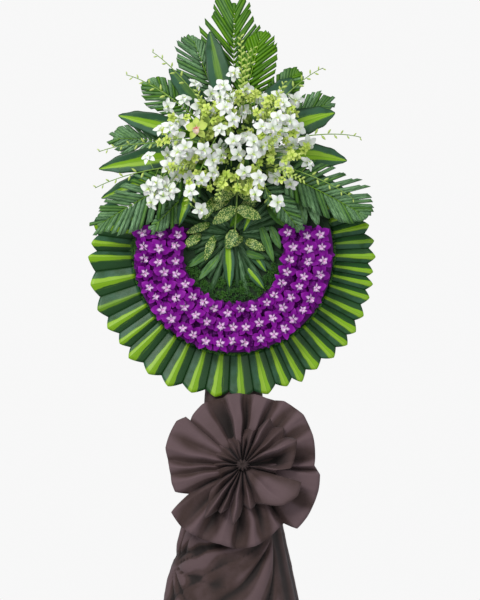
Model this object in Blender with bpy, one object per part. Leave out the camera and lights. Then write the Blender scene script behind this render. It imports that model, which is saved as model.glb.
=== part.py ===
"""A standing funeral wreath: a round head of orchids and leaves on a draped wooden tripod with a fabric bow.

Units are metres, +Z is up, the front faces -Y, and the origin is on the floor under the middle.
Places in the head are given as (x, z), seen from the front.
"""

import math
import random

import bmesh
import bpy
from mathutils import Matrix, Vector
from mathutils.bvhtree import BVHTree

# The clearance between pieces that touch
GAP = 0.0003

# The round head
HEAD_Z = 1.149
BOARD_RADIUS = 0.335
BOARD_THICKNESS = 0.009
DISC_RADIUS = 0.300
DISC_THICKNESS = 0.050
DISC_FRONT = -GAP - DISC_THICKNESS

# The wet foam block that holds the upper stems
BLOCK_HALF_WIDTH = 0.095
BLOCK_HALF_HEIGHT = 0.075
BLOCK_DEPTH = 0.100
BLOCK_Z = 1.450
BLOCK_BACK = DISC_FRONT - GAP
BLOCK_FRONT = BLOCK_BACK - BLOCK_DEPTH
STEM_IN_BLOCK = 0.035
FROND_HOLE = 0.0042
LEAF_HOLE = 0.0040
STEM_HOLE = 0.0036
HOLE_SIDES = 5

# The stand
TIMBER = 0.024
MAST_WIDTH = 0.040
MAST_DEPTH = 0.030
MAST_BOTTOM = 0.450
MAST_TOP = 1.500
MAST_Y = BOARD_THICKNESS + GAP + MAST_DEPTH / 2
LEG_TOP_Z = 0.780
FRONT_FOOT = (0.135, -0.100)
BACK_FOOT_Y = 0.215
RAIL_Z = 0.220
HEAD_BLOCK_THICKNESS = 0.015
HEAD_BLOCK_GAP = 0.0004

# The skirt: height, half width, half depth and middle depth of each row of cloth, hem first
CLOTH = 0.001
SKIRT_ROWS = (
    (0.003, 0.2250, 0.2230, 0.0420),
    (0.300, 0.1550, 0.1550, 0.0410),
    (0.500, 0.1150, 0.1100, 0.0400),
    (0.660, 0.0930, 0.0700, 0.0400),
    (0.757, 0.0850, 0.0430, 0.0400),
    (0.797, 0.0830, 0.0380, 0.0400),
)
SKIRT_SEGMENTS = 36
SKIRT_FOLDS = 9
SKIRT_FOLD_DEPTH = 0.008
SKIRT_TWIST = 1.6
SQUARENESS = 2.5

# The bow: outline radius of the back folds by angle, in degrees from +X
BOW_CENTRE = (0.0270, 0.494)
BOW_LEAN = math.radians(13.6)
BOW_OUTLINE = (
    (20, 0.214),
    (59, 0.214),
    (90, 0.196),
    (112, 0.205),
    (142, 0.214),
    (171, 0.238),
    (200, 0.190),
    (218, 0.255),
    (262, 0.200),
    (311, 0.238),
    (349, 0.224),
    (380, 0.214),
)
# Each station of the bow's cloth, from the hub out: share of the radius, lift and depth of the folds
BACK_STATIONS = ((0.0, 0.0, 0.0), (0.30, 0.0, 0.008), (1.0, 0.004, 0.014))
FRONT_STATIONS = ((0.0, 0.012, 0.0), (0.35, 0.034, 0.009), (1.0, 0.050, 0.017))
BACK_PLEATS = 17
FRONT_PLEATS = 12
BOW_CLOTH = 0.0012
BOW_LIFT = 0.024
PEG_RADIUS = 0.006
PEG_END = 0.035
KNOT_SIZE = (0.030, 0.013, 0.024)

# The ruff: angle in degrees from +X and radius of each folded leaf's tip
RUFF_TIPS = {
    "ruff_left": (
        (161.0, 0.420),
        (168.5, 0.429),
        (176.0, 0.428),
        (182.0, 0.437),
        (193.0, 0.440),
        (203.0, 0.443),
        (210.7, 0.441),
        (219.0, 0.437),
    ),
    "ruff_lower_left": (
        (225.5, 0.446),
        (235.2, 0.444),
        (243.4, 0.446),
        (253.4, 0.438),
        (263.2, 0.435),
        (273.0, 0.437),
        (283.3, 0.436),
    ),
    "ruff_lower_right": (
        (291.8, 0.431),
        (298.0, 0.438),
        (305.3, 0.429),
        (314.0, 0.435),
        (320.6, 0.439),
        (327.6, 0.437),
        (334.2, 0.434),
    ),
    "ruff_right": (
        (341.5, 0.430),
        (347.3, 0.429),
        (352.6, 0.423),
        (358.6, 0.427),
        (365.4, 0.424),
        (371.4, 0.416),
        (378.5, 0.408),
        (386.0, 0.400),
    ),
}
RUFF_NOTCH = 0.018
RUFF_INNER = 0.3035
RUFF_HEIGHT = 0.016
RUFF_CURL = 0.010
LEAF_THICKNESS = 0.001

# The horseshoe of purple orchids: each piece from one angle to another, cut level at both upper ends
BAND_PIECES = {
    "left": (148.0, 207.0),
    "lower_left": (207.0, 250.0),
    "bottom": (250.0, 293.0),
    "lower_right": (293.0, 336.0),
    "right": (336.0, 392.0),
}
BAND_RISE = 0.073
BAND_ROWS = (0.166, 0.206, 0.246, 0.285)
BAND_PITCH = 0.0475
BAND_INNER = 0.150
BAND_OUTER = 0.297
MAT_THICKNESS = 0.008
PURPLE_RADIUS = 0.0255
PURPLE_Y = -0.081
PURPLE_LEAN = 0.28
CUT = 0.0004

# Depths of the layers of fronds, leaves and sprays, back to front
LAYERS = {"A": -0.059, "B": -0.073, "C": -0.087, "D": -0.101, "E": -0.117, "F": -0.134}

# Palm fronds: tip, layer, depth at the tip, first leaflet, leaflets a side, longest on the left and right
FRONDS = {
    "frond_top": ((0.002, 1.872), "A", -0.050, 0.10, 20, 0.120, 0.115),
    "frond_upper_left": ((-0.118, 1.778), "B", -0.070, 0.15, 15, 0.105, 0.070),
    "frond_upper_right": ((0.080, 1.790), "B", -0.070, 0.15, 15, 0.070, 0.105),
    "frond_right_up": ((0.186, 1.678), "C", -0.090, 0.20, 12, 0.060, 0.070),
    "frond_left_up": ((-0.245, 1.655), "A", -0.055, 0.20, 13, 0.085, 0.065),
    "frond_left": ((-0.345, 1.490), "A", -0.055, 0.30, 13, 0.075, 0.080),
    "frond_left_low": ((-0.385, 1.236), "D", -0.112, 0.18, 18, 0.100, 0.100),
    "frond_right": ((0.278, 1.590), "B", -0.072, 0.25, 13, 0.070, 0.065),
    "frond_right_low": ((0.378, 1.262), "D", -0.112, 0.18, 18, 0.115, 0.095),
    "frond_inner_right": ((0.190, 1.222), "C", -0.104, 0.15, 11, 0.055, 0.045),
    "frond_inner_left": ((-0.235, 1.222), "C", -0.104, 0.15, 13, 0.060, 0.050),
}
LEAFLET_THICKNESS = 0.0008
SHORTEST_LEAFLET = 0.50
RIB_HALF_WIDTH = 0.0022
RIB_HALF_HEIGHT = 0.0016

# Broad striped leaves: tip, layer, share of the way where the blade starts, half width
BROAD_LEAVES = {
    "broad_leaf_top": ((-0.070, 1.803), "C", 0.12, 0.031),
    "broad_leaf_upper_left": ((-0.190, 1.690), "D", 0.12, 0.027),
    "broad_leaf_left_up": ((-0.342, 1.556), "B", 0.14, 0.030),
    "broad_leaf_left": ((-0.398, 1.396), "C", 0.14, 0.031),
    "broad_leaf_left_low": ((-0.392, 1.310), "B", 0.16, 0.027),
    "broad_leaf_upper_right": ((0.176, 1.662), "D", 0.12, 0.031),
    "broad_leaf_right_up": ((0.300, 1.564), "D", 0.14, 0.031),
    "broad_leaf_right": ((0.336, 1.420), "C", 0.14, 0.033),
    "broad_leaf_right_low": ((0.362, 1.296), "B", 0.16, 0.030),
}

# White sprays: where the stem leaves the block, tip, depth at the tip, share of the stem with blooms,
# number of blooms, number of buds
SPRAYS = {
    "white_spray_top": ((0.020, "E", 1.525), (0.060, 1.742), -0.175, 0.66, 4, 3),
    "white_spray_upper_right": ((0.070, "E", 1.525), (0.262, 1.684), -0.160, 0.58, 5, 4),
    "white_spray_right": ((0.095, "E", 1.470), (0.372, 1.482), -0.160, 0.55, 5, 4),
    "white_spray_right_low": ((0.095, "F", 1.415), (0.352, 1.300), -0.165, 0.55, 4, 4),
    "white_spray_upper_left": ((-0.040, "E", 1.525), (-0.236, 1.730), -0.165, 0.55, 5, 4),
    "white_spray_left_up": ((-0.085, "F", 1.525), (-0.312, 1.664), -0.160, 0.52, 4, 4),
    "white_spray_left": ((-0.095, "E", 1.465), (-0.392, 1.440), -0.160, 0.52, 5, 4),
    "white_spray_left_low": ((-0.095, "F", 1.410), (-0.402, 1.334), -0.165, 0.58, 6, 4),
    "white_spray_down_left": ((-0.040, "front", 1.498), (-0.135, 1.268), -0.205, 1.0, 7, 0),
    "white_spray_down_right": ((0.030, "front", 1.498), (0.110, 1.272), -0.205, 1.0, 7, 0),
    "white_spray_front_left": ((-0.068, "front", 1.438), (-0.172, 1.468), -0.215, 1.0, 6, 0),
    "white_spray_front": ((-0.006, "front", 1.400), (-0.010, 1.620), -0.215, 1.0, 7, 0),
    "white_spray_front_right": ((0.068, "front", 1.442), (0.168, 1.540), -0.215, 1.0, 7, 0),
}
SPRAY_SEED = 11
SPRAY_STEPS = 6
WHITE_RADIUS = 0.0262
STEM_RADIUS = 0.0025
STEM_TIP_RADIUS = 0.0012
FLATNESS = 0.50
BLOOM_TRIES = 90
BLOOM_ARC = 1.9
BLOOM_REACH = (0.020, 0.044)
BLOOM_DEPTHS = (-0.262, -0.146)

# The yellow-green orchid: where its stem leaves the block, the bloom's foot and radius
GREEN_EXIT = (-0.072, 1.480)
GREEN_FOOT = (-0.104, -0.212, 1.500)
GREEN_FACING = (-0.15, -1.0, 0.10)
GREEN_RADIUS = 0.032

# The speckled sprig: where its stem leaves the block, its tip, and the leaves as share of the stem,
# angle in degrees and length
SPRIG_EXIT = (0.012, -0.117)
SPRIG_TIP = (0.004, -0.096, 1.205)
SPRIG_LEAVES = (
    (0.30, 205, 0.078),
    (0.30, -30, 0.072),
    (0.62, 215, 0.086),
    (0.62, -25, 0.080),
    (0.95, 248, 0.062),
)
SPRIG_HALF_WIDTH = 0.019

# Greens over the middle of the disc
INNER_HUB = (0.0, 1.205)
INNER_STRIPS = 21
INNER_RADIUS = 0.147
LONG_STRIP = 0.225
OPEN_SLOPE = 0.28
STRIP_THICKNESS = 0.0012

MATERIALS = {
    "timber": ((0.42, 0.29, 0.17), 0.75),
    "green_board": ((0.03, 0.09, 0.03), 0.80),
    "dry_foam": ((0.10, 0.22, 0.08), 0.95),
    "wet_foam": ((0.05, 0.16, 0.06), 0.95),
    "brown_cloth": ((0.072, 0.050, 0.046), 0.90),
    "striped_leaf": ((0.05, 0.17, 0.04), 0.45),
    "palm_leaf": ((0.03, 0.15, 0.03), 0.50),
    "speckled_leaf": ((0.18, 0.32, 0.06), 0.45),
    "purple_petal": ((0.25, 0.01, 0.33), 0.55),
    "white_petal": ((0.80, 0.83, 0.74), 0.55),
    "green_petal": ((0.45, 0.60, 0.15), 0.55),
}


def clear_scene():
    for obj in list(bpy.data.objects):
        bpy.data.objects.remove(obj, do_unlink=True)


def material(name):
    found = bpy.data.materials.get(name)
    if found:
        return found
    colour, roughness = MATERIALS[name]
    made = bpy.data.materials.new(name)
    made.use_nodes = True
    shader = made.node_tree.nodes["Principled BSDF"]
    shader.inputs["Base Color"].default_value = (*colour, 1.0)
    shader.inputs["Roughness"].default_value = roughness
    shader.inputs["Metallic"].default_value = 0.0
    return made


def add_object(name, bm, material_name, smooth=False):
    """Makes the bmesh an object of that name, with its faces outwards."""
    bmesh.ops.recalc_face_normals(bm, faces=bm.faces)
    if bm.calc_volume(signed=True) < 0:
        bmesh.ops.reverse_faces(bm, faces=bm.faces)
    mesh = bpy.data.meshes.new(name)
    bm.to_mesh(mesh)
    bm.free()
    mesh.materials.append(material(material_name))
    if smooth:
        mesh.shade_smooth()
        mesh.set_sharp_from_angle(angle=math.radians(35))
    obj = bpy.data.objects.new(name, mesh)
    bpy.context.scene.collection.objects.link(obj)
    return obj


def fuse(name, pieces, material_name, keep_inside=None):
    """Joins the pieces, each a bmesh, by a Boolean union, and trims them to a cutter if one is given."""
    helpers = bpy.data.collections.new(name + "_pieces")
    bpy.context.scene.collection.children.link(helpers)
    base = add_object(name, pieces[0], material_name)
    for piece in pieces[1:]:
        helper = add_object(name + "_piece", piece, material_name)
        bpy.context.scene.collection.objects.unlink(helper)
        helpers.objects.link(helper)
    join = base.modifiers.new("Join", "BOOLEAN")
    join.operation = "UNION"
    join.operand_type = "COLLECTION"
    join.collection = helpers
    join.solver = "EXACT"
    if keep_inside:
        trim = base.modifiers.new("Trim", "BOOLEAN")
        trim.operation = "INTERSECT"
        trim.object = keep_inside
        trim.solver = "EXACT"
    apply_modifiers(base)
    for helper in list(helpers.objects):
        bpy.data.objects.remove(helper, do_unlink=True)
    bpy.data.collections.remove(helpers)
    return base


def apply_modifiers(obj):
    graph = bpy.context.evaluated_depsgraph_get()
    graph.update()
    mesh = bpy.data.meshes.new_from_object(obj.evaluated_get(graph))
    obj.modifiers.clear()
    obj.data = mesh


def loft(bm, rings):
    """A closed solid through rings of points that all run the same way round."""
    made = [[bm.verts.new(point) for point in ring] for ring in rings]
    for lower, upper in zip(made, made[1:]):
        count = len(lower)
        for index in range(count):
            after = (index + 1) % count
            bm.faces.new((lower[index], lower[after], upper[after], upper[index]))
    bm.faces.new(list(reversed(made[0])))
    bm.faces.new(made[-1])


def thick_sheet(bm, rows, offset, ring=False):
    """A thin solid from a grid of points and its copy moved by offset(point), split alike on both faces."""
    front = [[bm.verts.new(point) for point in row] for row in rows]
    back = [[bm.verts.new(point + offset(point)) for point in row] for row in rows]
    last = len(rows[0]) if ring else len(rows[0]) - 1
    width = len(rows[0])
    for lower, upper, lower_back, upper_back in zip(front, front[1:], back, back[1:]):
        for index in range(last):
            after = (index + 1) % width
            bm.faces.new((lower[index], lower[after], upper[after]))
            bm.faces.new((lower[index], upper[after], upper[index]))
            bm.faces.new((lower_back[index], upper_back[after], lower_back[after]))
            bm.faces.new((lower_back[index], upper_back[index], upper_back[after]))
    for index in range(last):
        after = (index + 1) % width
        bm.faces.new((front[0][index], back[0][index], back[0][after], front[0][after]))
        bm.faces.new((front[-1][index], front[-1][after], back[-1][after], back[-1][index]))
    if ring:
        return
    for row in range(len(rows) - 1):
        bm.faces.new((front[row][0], front[row + 1][0], back[row + 1][0], back[row][0]))
        bm.faces.new((front[row][-1], back[row][-1], back[row + 1][-1], front[row + 1][-1]))


def frame_along(direction, up_hint):
    """Side and up vectors square to a direction."""
    side = direction.cross(up_hint)
    if side.length < 1e-6:
        side = direction.cross(Vector((1.0, 0.0, 0.0)))
    side.normalize()
    return side, side.cross(direction).normalized()


def tube_rings(points, radii, sides):
    """Rings square to a line of points, each turned as little as possible from the one before."""
    rings = []
    side = None
    for index, point in enumerate(points):
        before = points[max(index - 1, 0)]
        after = points[min(index + 1, len(points) - 1)]
        along = (after - before).normalized()
        if side is None:
            side, _ = frame_along(along, Vector((0.2, 1.0, 0.5)))
        side = (side - side.dot(along) * along).normalized()
        up = side.cross(along)
        turns = [math.tau * k / sides for k in range(sides)]
        rings.append([point + radii[index] * (math.cos(t) * side + math.sin(t) * up) for t in turns])
    return rings


def bezier(points, share):
    """A point on the curve through the first and last points, pulled towards those between."""
    layer = list(points)
    while len(layer) > 1:
        layer = [a.lerp(b, share) for a, b in zip(layer, layer[1:])]
    return layer[0]


def rectangle(x, y, z, width, depth):
    half_x, half_y = width / 2, depth / 2
    corners = ((-half_x, -half_y), (half_x, -half_y), (half_x, half_y), (-half_x, half_y))
    return [Vector((x + dx, y + dy, z)) for dx, dy in corners]


def superellipse(angle, half_width, half_depth):
    power = 2 / SQUARENESS
    cosine, sine = math.cos(angle), math.sin(angle)
    x = math.copysign(abs(cosine) ** power, cosine) * half_width
    y = math.copysign(abs(sine) ** power, sine) * half_depth
    return x, y


def head_point(radius, angle, y):
    """A point at that radius and angle in degrees, from +X towards +Z, round the middle of the head."""
    turn = math.radians(angle)
    return Vector((radius * math.cos(turn), y, HEAD_Z + radius * math.sin(turn)))


# The stand


def timber(name, lower, upper):
    bm = bmesh.new()
    loft(bm, [lower, upper])
    return add_object(name, bm, "timber")


def build_stand():
    leg_top_x = MAST_WIDTH / 2 + GAP + TIMBER / 2
    for name, side in (("leg_front_left", -1), ("leg_front_right", 1)):
        foot = rectangle(side * FRONT_FOOT[0], FRONT_FOOT[1], 0.0, TIMBER, TIMBER)
        timber(name, foot, rectangle(side * leg_top_x, MAST_Y, LEG_TOP_Z, TIMBER, TIMBER))
    leg_top_y = MAST_Y + MAST_DEPTH / 2 + GAP + TIMBER / 2
    foot = rectangle(0.0, BACK_FOOT_Y, 0.0, TIMBER, TIMBER)
    timber("leg_back", foot, rectangle(0.0, leg_top_y, LEG_TOP_Z, TIMBER, TIMBER))
    mast_foot = rectangle(0.0, MAST_Y, MAST_BOTTOM, MAST_WIDTH, MAST_DEPTH)
    timber("mast", mast_foot, rectangle(0.0, MAST_Y, MAST_TOP, MAST_WIDTH, MAST_DEPTH))

    share = (RAIL_Z + TIMBER) / LEG_TOP_Z
    rail_y = FRONT_FOOT[1] + share * (MAST_Y - FRONT_FOOT[1]) + TIMBER + GAP
    rail_half = FRONT_FOOT[0] + share * (leg_top_x - FRONT_FOOT[0]) + TIMBER / 2
    lower = rectangle(0.0, rail_y, RAIL_Z, 2 * rail_half, TIMBER)
    timber("front_rail", lower, rectangle(0.0, rail_y, RAIL_Z + TIMBER, 2 * rail_half, TIMBER))


def build_head_block():
    """The plate round the mast that the skirt is stapled to."""
    _, half_width, half_depth, middle = SKIRT_ROWS[-1]
    inset = CLOTH + HEAD_BLOCK_GAP
    bottom = LEG_TOP_Z + GAP
    rings = []
    for z in (bottom, bottom + HEAD_BLOCK_THICKNESS):
        ring = []
        for index in range(SKIRT_SEGMENTS):
            angle = math.tau * index / SKIRT_SEGMENTS
            x, y = superellipse(angle, half_width - inset, half_depth - inset)
            ring.append(Vector((x, middle + y, z)))
        rings.append(ring)
    bm = bmesh.new()
    loft(bm, rings)
    plate = add_object("head_block", bm, "timber")
    bm = bmesh.new()
    hole = (MAST_WIDTH + 2 * GAP, MAST_DEPTH + 2 * GAP)
    loft(bm, [rectangle(0.0, MAST_Y, bottom - 0.01, *hole), rectangle(0.0, MAST_Y, bottom + 0.04, *hole)])
    cut_away(plate, add_object("mast_cutter", bm, "timber"))


def cut_away(obj, cutter):
    cut = obj.modifiers.new("Cut", "BOOLEAN")
    cut.operation = "DIFFERENCE"
    cut.object = cutter
    cut.solver = "EXACT"
    apply_modifiers(obj)
    bpy.data.objects.remove(cutter, do_unlink=True)


# The skirt and the bow


def skirt_ring(row, inset):
    """One row of the cloth: a rounded outline with folds that wrap round as they fall."""
    z, half_width, half_depth, middle = row
    fall = 1 - z / SKIRT_ROWS[-1][0]
    depth = SKIRT_FOLD_DEPTH * fall**0.7 if fall > 0.06 else 0.0
    points = []
    for index in range(SKIRT_SEGMENTS):
        angle = math.tau * index / SKIRT_SEGMENTS
        x, y = superellipse(angle, half_width, half_depth)
        swell = 1 + depth * math.sin(SKIRT_FOLDS * angle + SKIRT_TWIST * fall) / half_width
        out = Vector((x, y, 0.0))
        out *= swell * (1 - inset / out.length)
        points.append(Vector((out.x, middle + out.y, z)))
    return points


def build_skirt():
    bm = bmesh.new()
    outer = [skirt_ring(row, 0.0) for row in SKIRT_ROWS]
    inner = [skirt_ring(row, CLOTH) for row in SKIRT_ROWS]
    pairs = {tuple(p): q - p for a, b in zip(outer, inner) for p, q in zip(a, b)}
    thick_sheet(bm, outer, lambda point: pairs[tuple(point)], ring=True)
    return add_object("skirt", bm, "brown_cloth", smooth=True)


def bow_radius(angle):
    """The radius of the back folds at an angle in degrees, between the measured ones."""
    angle = BOW_OUTLINE[0][0] + (angle - BOW_OUTLINE[0][0]) % 360
    for (start, first), (end, second) in zip(BOW_OUTLINE, BOW_OUTLINE[1:]):
        if angle <= end:
            share = (angle - start) / (end - start)
            return first + (second - first) * share
    return BOW_OUTLINE[-1][1]


def front_radius(angle):
    """The radius of the front loops: the back outline made smaller, turned and waved."""
    return 0.66 * bow_radius(angle + 25) + 0.006 * math.sin(math.radians(5 * angle))


def rosette(name, centre, axes, hub, pleats, radius_at, stations):
    """A gathered ring of cloth, its folds given as (share of the radius, lift, depth) from the hub."""
    right, up, front = axes
    rows = []
    for share, lift, depth in stations:
        row = []
        for index in range(2 * pleats):
            angle = 360 * index / (2 * pleats)
            radius = hub + (radius_at(angle) - hub) * share
            height = lift + (depth if index % 2 else -depth)
            turn = math.radians(angle)
            row.append(centre + radius * (math.cos(turn) * right + math.sin(turn) * up) + height * front)
        rows.append(row)
    bm = bmesh.new()
    thick_sheet(bm, rows, lambda point: -BOW_CLOTH * front, ring=True)
    return add_object(name, bm, "brown_cloth")


def build_bow(skirt):
    front = Vector((0.0, -math.cos(BOW_LEAN), math.sin(BOW_LEAN)))
    up = Vector((0.0, math.sin(BOW_LEAN), math.cos(BOW_LEAN)))
    right = Vector((1.0, 0.0, 0.0))
    axes = (right, up, front)
    corners = [v.co for v in skirt.data.vertices]
    tree = BVHTree.FromPolygons(corners, [p.vertices for p in skirt.data.polygons])
    start = Vector((BOW_CENTRE[0], 0.0, BOW_CENTRE[1])) + 0.4 * front
    surface, _, _, _ = tree.ray_cast(start, -front)
    centre = surface + BOW_LIFT * front
    hub = PEG_RADIUS + GAP
    rosette("bow_back_folds", centre, axes, hub, BACK_PLEATS, bow_radius, BACK_STATIONS)
    rosette("bow_front_loops", centre, axes, hub, FRONT_PLEATS, front_radius, FRONT_STATIONS)

    pieces = [bmesh.new(), bmesh.new()]
    peg = [surface + 2 * GAP * front, centre + PEG_END * front]
    radius = PEG_RADIUS - GAP / 2
    loft(pieces[0], tube_rings(peg, (radius, radius), 10))
    lean = Matrix.Rotation(-BOW_LEAN, 4, "X")
    place = Matrix.Translation(centre + PEG_END * front) @ lean @ Matrix.Diagonal((*KNOT_SIZE, 1.0))
    bmesh.ops.create_icosphere(pieces[1], subdivisions=2, radius=1.0, matrix=place)
    fuse("bow_knot", pieces, "brown_cloth")


# The head: board, disc and block


def build_board_and_disc():
    for name, radius, back, front, slot in (
        ("back_board", BOARD_RADIUS, BOARD_THICKNESS, 0.0, "green_board"),
        ("foam_disc", DISC_RADIUS, -GAP, DISC_FRONT, "dry_foam"),
    ):
        bm = bmesh.new()
        rings = [[head_point(radius, 360 * k / 32, y) for k in range(32)] for y in (back, front)]
        loft(bm, rings)
        add_object(name, bm, slot, smooth=True)


def build_block(stems):
    """The block, with a plain hole for each stem given as (inner end, exit, radius)."""
    bm = bmesh.new()
    middle = (BLOCK_BACK + BLOCK_FRONT) / 2
    lower = rectangle(0.0, middle, BLOCK_Z - BLOCK_HALF_HEIGHT, 2 * BLOCK_HALF_WIDTH, BLOCK_DEPTH)
    upper = [point + Vector((0.0, 0.0, 2 * BLOCK_HALF_HEIGHT)) for point in lower]
    loft(bm, [lower, upper])
    block = add_object("foam_block", bm, "wet_foam")
    cutters = bpy.data.collections.new("stem_cutters")
    bpy.context.scene.collection.children.link(cutters)
    for inner, exit_point, radius in stems:
        bm = bmesh.new()
        along = (exit_point - inner).normalized()
        ends = [inner - 0.001 * along, exit_point + 0.004 * along]
        loft(bm, tube_rings(ends, (radius, radius), HOLE_SIDES))
        cutter = add_object("stem_cutter", bm, "wet_foam")
        bpy.context.scene.collection.objects.unlink(cutter)
        cutters.objects.link(cutter)
    cut = block.modifiers.new("Holes", "BOOLEAN")
    cut.operation = "DIFFERENCE"
    cut.operand_type = "COLLECTION"
    cut.collection = cutters
    cut.solver = "EXACT"
    apply_modifiers(block)
    for cutter in list(cutters.objects):
        bpy.data.objects.remove(cutter, do_unlink=True)
    bpy.data.collections.remove(cutters)


# The ruff


def ruff_edges(name):
    """(angle, radius) of the valleys and ridges of one piece of the ruff, from valley to valley."""
    tips = [tip for piece in RUFF_TIPS.values() for tip in piece]
    before, after = tips[0], tips[-1]
    tips = [(2 * before[0] - tips[1][0], before[1])] + tips + [(2 * after[0] - tips[-2][0], after[1])]
    valleys = []
    for (start, first), (end, second) in zip(tips, tips[1:]):
        valleys.append(((start + end) / 2, min(first, second) - RUFF_NOTCH))
    first = tips.index(RUFF_TIPS[name][0])
    edges = [valleys[first - 1]]
    for index in range(first, first + len(RUFF_TIPS[name])):
        edges += [tips[index], valleys[index]]
    edges[0] = (edges[0][0] + 0.05, edges[0][1])
    edges[-1] = (edges[-1][0] - 0.05, edges[-1][1])
    return edges


def build_ruff():
    """Folded leaves side by side: a ridge in the middle of each, a valley where two meet."""
    for name in RUFF_TIPS:
        edges = ruff_edges(name)
        rows = []
        for share in (0.0, 0.5, 1.0):
            row = []
            for index, (angle, reach) in enumerate(edges):
                radius = RUFF_INNER + (reach - RUFF_INNER) * share
                height = RUFF_HEIGHT * (0.75 + 0.35 * share) if index % 2 else 0.0
                y = -GAP - LEAF_THICKNESS - height - RUFF_CURL * share**2
                row.append(head_point(radius, angle, y))
            rows.append(row)
        bm = bmesh.new()
        thick_sheet(bm, rows, lambda point: Vector((0.0, LEAF_THICKNESS, 0.0)))
        add_object(name, bm, "striped_leaf")


# Blooms


# Each petal of an orchid: its angle, and half its width in radians, or 0 for a narrow pointed one
PETALS = ((18, 0.44), (90, 0), (162, 0.44), (234, 0), (306, 0))


def bloom(bm, centre, facing, roll, radius, root):
    """One orchid: narrow sepals and broad petals round a raised lip, on a stalk that tapers to the root."""
    side, up = frame_along(facing, Vector((0.0, 0.0, 1.0)))
    side = -side

    def place(turn, reach, lift):
        turn += roll
        return centre + radius * reach * (math.cos(turn) * side + math.sin(turn) * up) + lift * facing

    half_step = math.radians(36)
    lip = bm.verts.new(place(math.radians(270), 0.16, 0.0055))
    tail = bm.verts.new(root)
    petals, neck = [], []
    for angle, width in PETALS:
        turn = math.radians(angle)
        points = [place(turn - half_step, 0.30, -0.0004), place(turn, 1.0, -0.0008)]
        if width:
            points.insert(1, place(turn - width, 0.76, 0.0016))
            points.append(place(turn + width, 0.76, 0.0016))
        petals.append([bm.verts.new(point) for point in points])
        neck.append(bm.verts.new(place(turn - half_step, 0.15, -0.0040)))
    for index, petal in enumerate(petals):
        after = (index + 1) % len(petals)
        own = petal + [petals[after][0]]
        tip = len(own) // 2
        for here, following in zip(own, own[1:]):
            bm.faces.new((here, following, lip))
        for step, (here, following) in enumerate(zip(own, own[1:])):
            bm.faces.new((following, here, neck[index] if step < tip else neck[after]))
        bm.faces.new((own[tip], neck[index], neck[after]))
        bm.faces.new((neck[after], neck[index], tail))


def bud(bm, centre, along, length, radius):
    """A pointed bud: two three-sided spikes end to end."""
    side, up = frame_along(along, Vector((0.0, 1.0, 0.0)))
    turns = [math.tau * k / 3 for k in range(3)]
    belly = [centre + radius * (math.cos(turn) * side + math.sin(turn) * up) for turn in turns]
    ring = [bm.verts.new(point) for point in belly]
    near = bm.verts.new(centre - 0.5 * length * along)
    far = bm.verts.new(centre + 0.5 * length * along)
    for index in range(3):
        after = (index + 1) % 3
        bm.faces.new((ring[index], ring[after], far))
        bm.faces.new((ring[after], ring[index], near))


def band_limits(radius):
    """The angles between which the horseshoe runs at that radius."""
    rise = math.degrees(math.asin(BAND_RISE / radius))
    return 180 - rise, 360 + rise


def band_blooms():
    """(angle, centre, facing, roll) of each purple orchid, in staggered rows with a little disorder."""
    rng = random.Random(3)
    found = []
    for row, radius in enumerate(BAND_ROWS):
        first, last = band_limits(radius)
        count = round(math.radians(last - first) * radius / BAND_PITCH)
        for index in range(count):
            angle = first + (last - first) * (index + 0.5) / count
            angle += math.degrees(rng.uniform(-0.003, 0.003) / radius)
            reach = radius + rng.uniform(-0.004, 0.004)
            centre = head_point(reach, angle, PURPLE_Y + rng.uniform(-0.004, 0.004) - 0.003 * (row % 2))
            facing = Vector((rng.uniform(-PURPLE_LEAN, PURPLE_LEAN), -1.0, rng.uniform(-0.15, 0.25)))
            found.append((angle, centre, facing.normalized(), rng.uniform(-0.5, 0.5)))
    return found


def build_band():
    blooms = band_blooms()
    mat_front = DISC_FRONT - GAP - MAT_THICKNESS
    for side, (start, end) in BAND_PIECES.items():
        width = end - start
        pieces = [bmesh.new()]
        rows = []
        for radius in (BAND_INNER, BAND_OUTER):
            first, last = band_limits(radius)
            first, last = max(start, first), min(end, last)
            rows.append([head_point(radius, first + (last - first) * k / 6, mat_front) for k in range(7)])
        thick_sheet(pieces[0], rows, lambda point: Vector((0.0, MAT_THICKNESS, 0.0)))
        for angle, centre, facing, roll in blooms:
            if not start <= angle < end:
                continue
            root = centre.copy()
            root.y = DISC_FRONT - GAP - 0.001
            pieces.append(bmesh.new())
            bloom(pieces[-1], centre, facing, roll, PURPLE_RADIUS, root)
        middle = start + width / 2
        apex = head_point(CUT / math.sin(math.radians(width / 2)), middle, 0.0)
        bm = bmesh.new()
        rings = []
        for y in (0.02, -0.2):
            ring = [Vector((apex.x, y, apex.z))]
            for angle in (start, middle, end):
                turn = math.radians(angle)
                ring.append(Vector((apex.x + 0.6 * math.cos(turn), y, apex.z + 0.6 * math.sin(turn))))
            rings.append(ring)
        loft(bm, rings)
        wedge = add_object("wedge", bm, "purple_petal")
        fuse("purple_orchids_" + side, pieces, "purple_petal", keep_inside=wedge)
        bpy.data.objects.remove(wedge, do_unlink=True)


# Stems out of the block


def block_exit(target, y):
    """Where the straight line from the block's middle to a place (x, z) leaves the block."""
    dx, dz = target[0], target[1] - BLOCK_Z
    scale = min(BLOCK_HALF_WIDTH / max(abs(dx), 1e-9), BLOCK_HALF_HEIGHT / max(abs(dz), 1e-9))
    return Vector((dx * scale, y, BLOCK_Z + dz * scale))


def inward(exit_point, target):
    """The end of the straight stretch of stem inside the block."""
    along = Vector((target[0] - exit_point.x, 0.0, target[1] - exit_point.z)).normalized()
    return exit_point - STEM_IN_BLOCK * along


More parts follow.
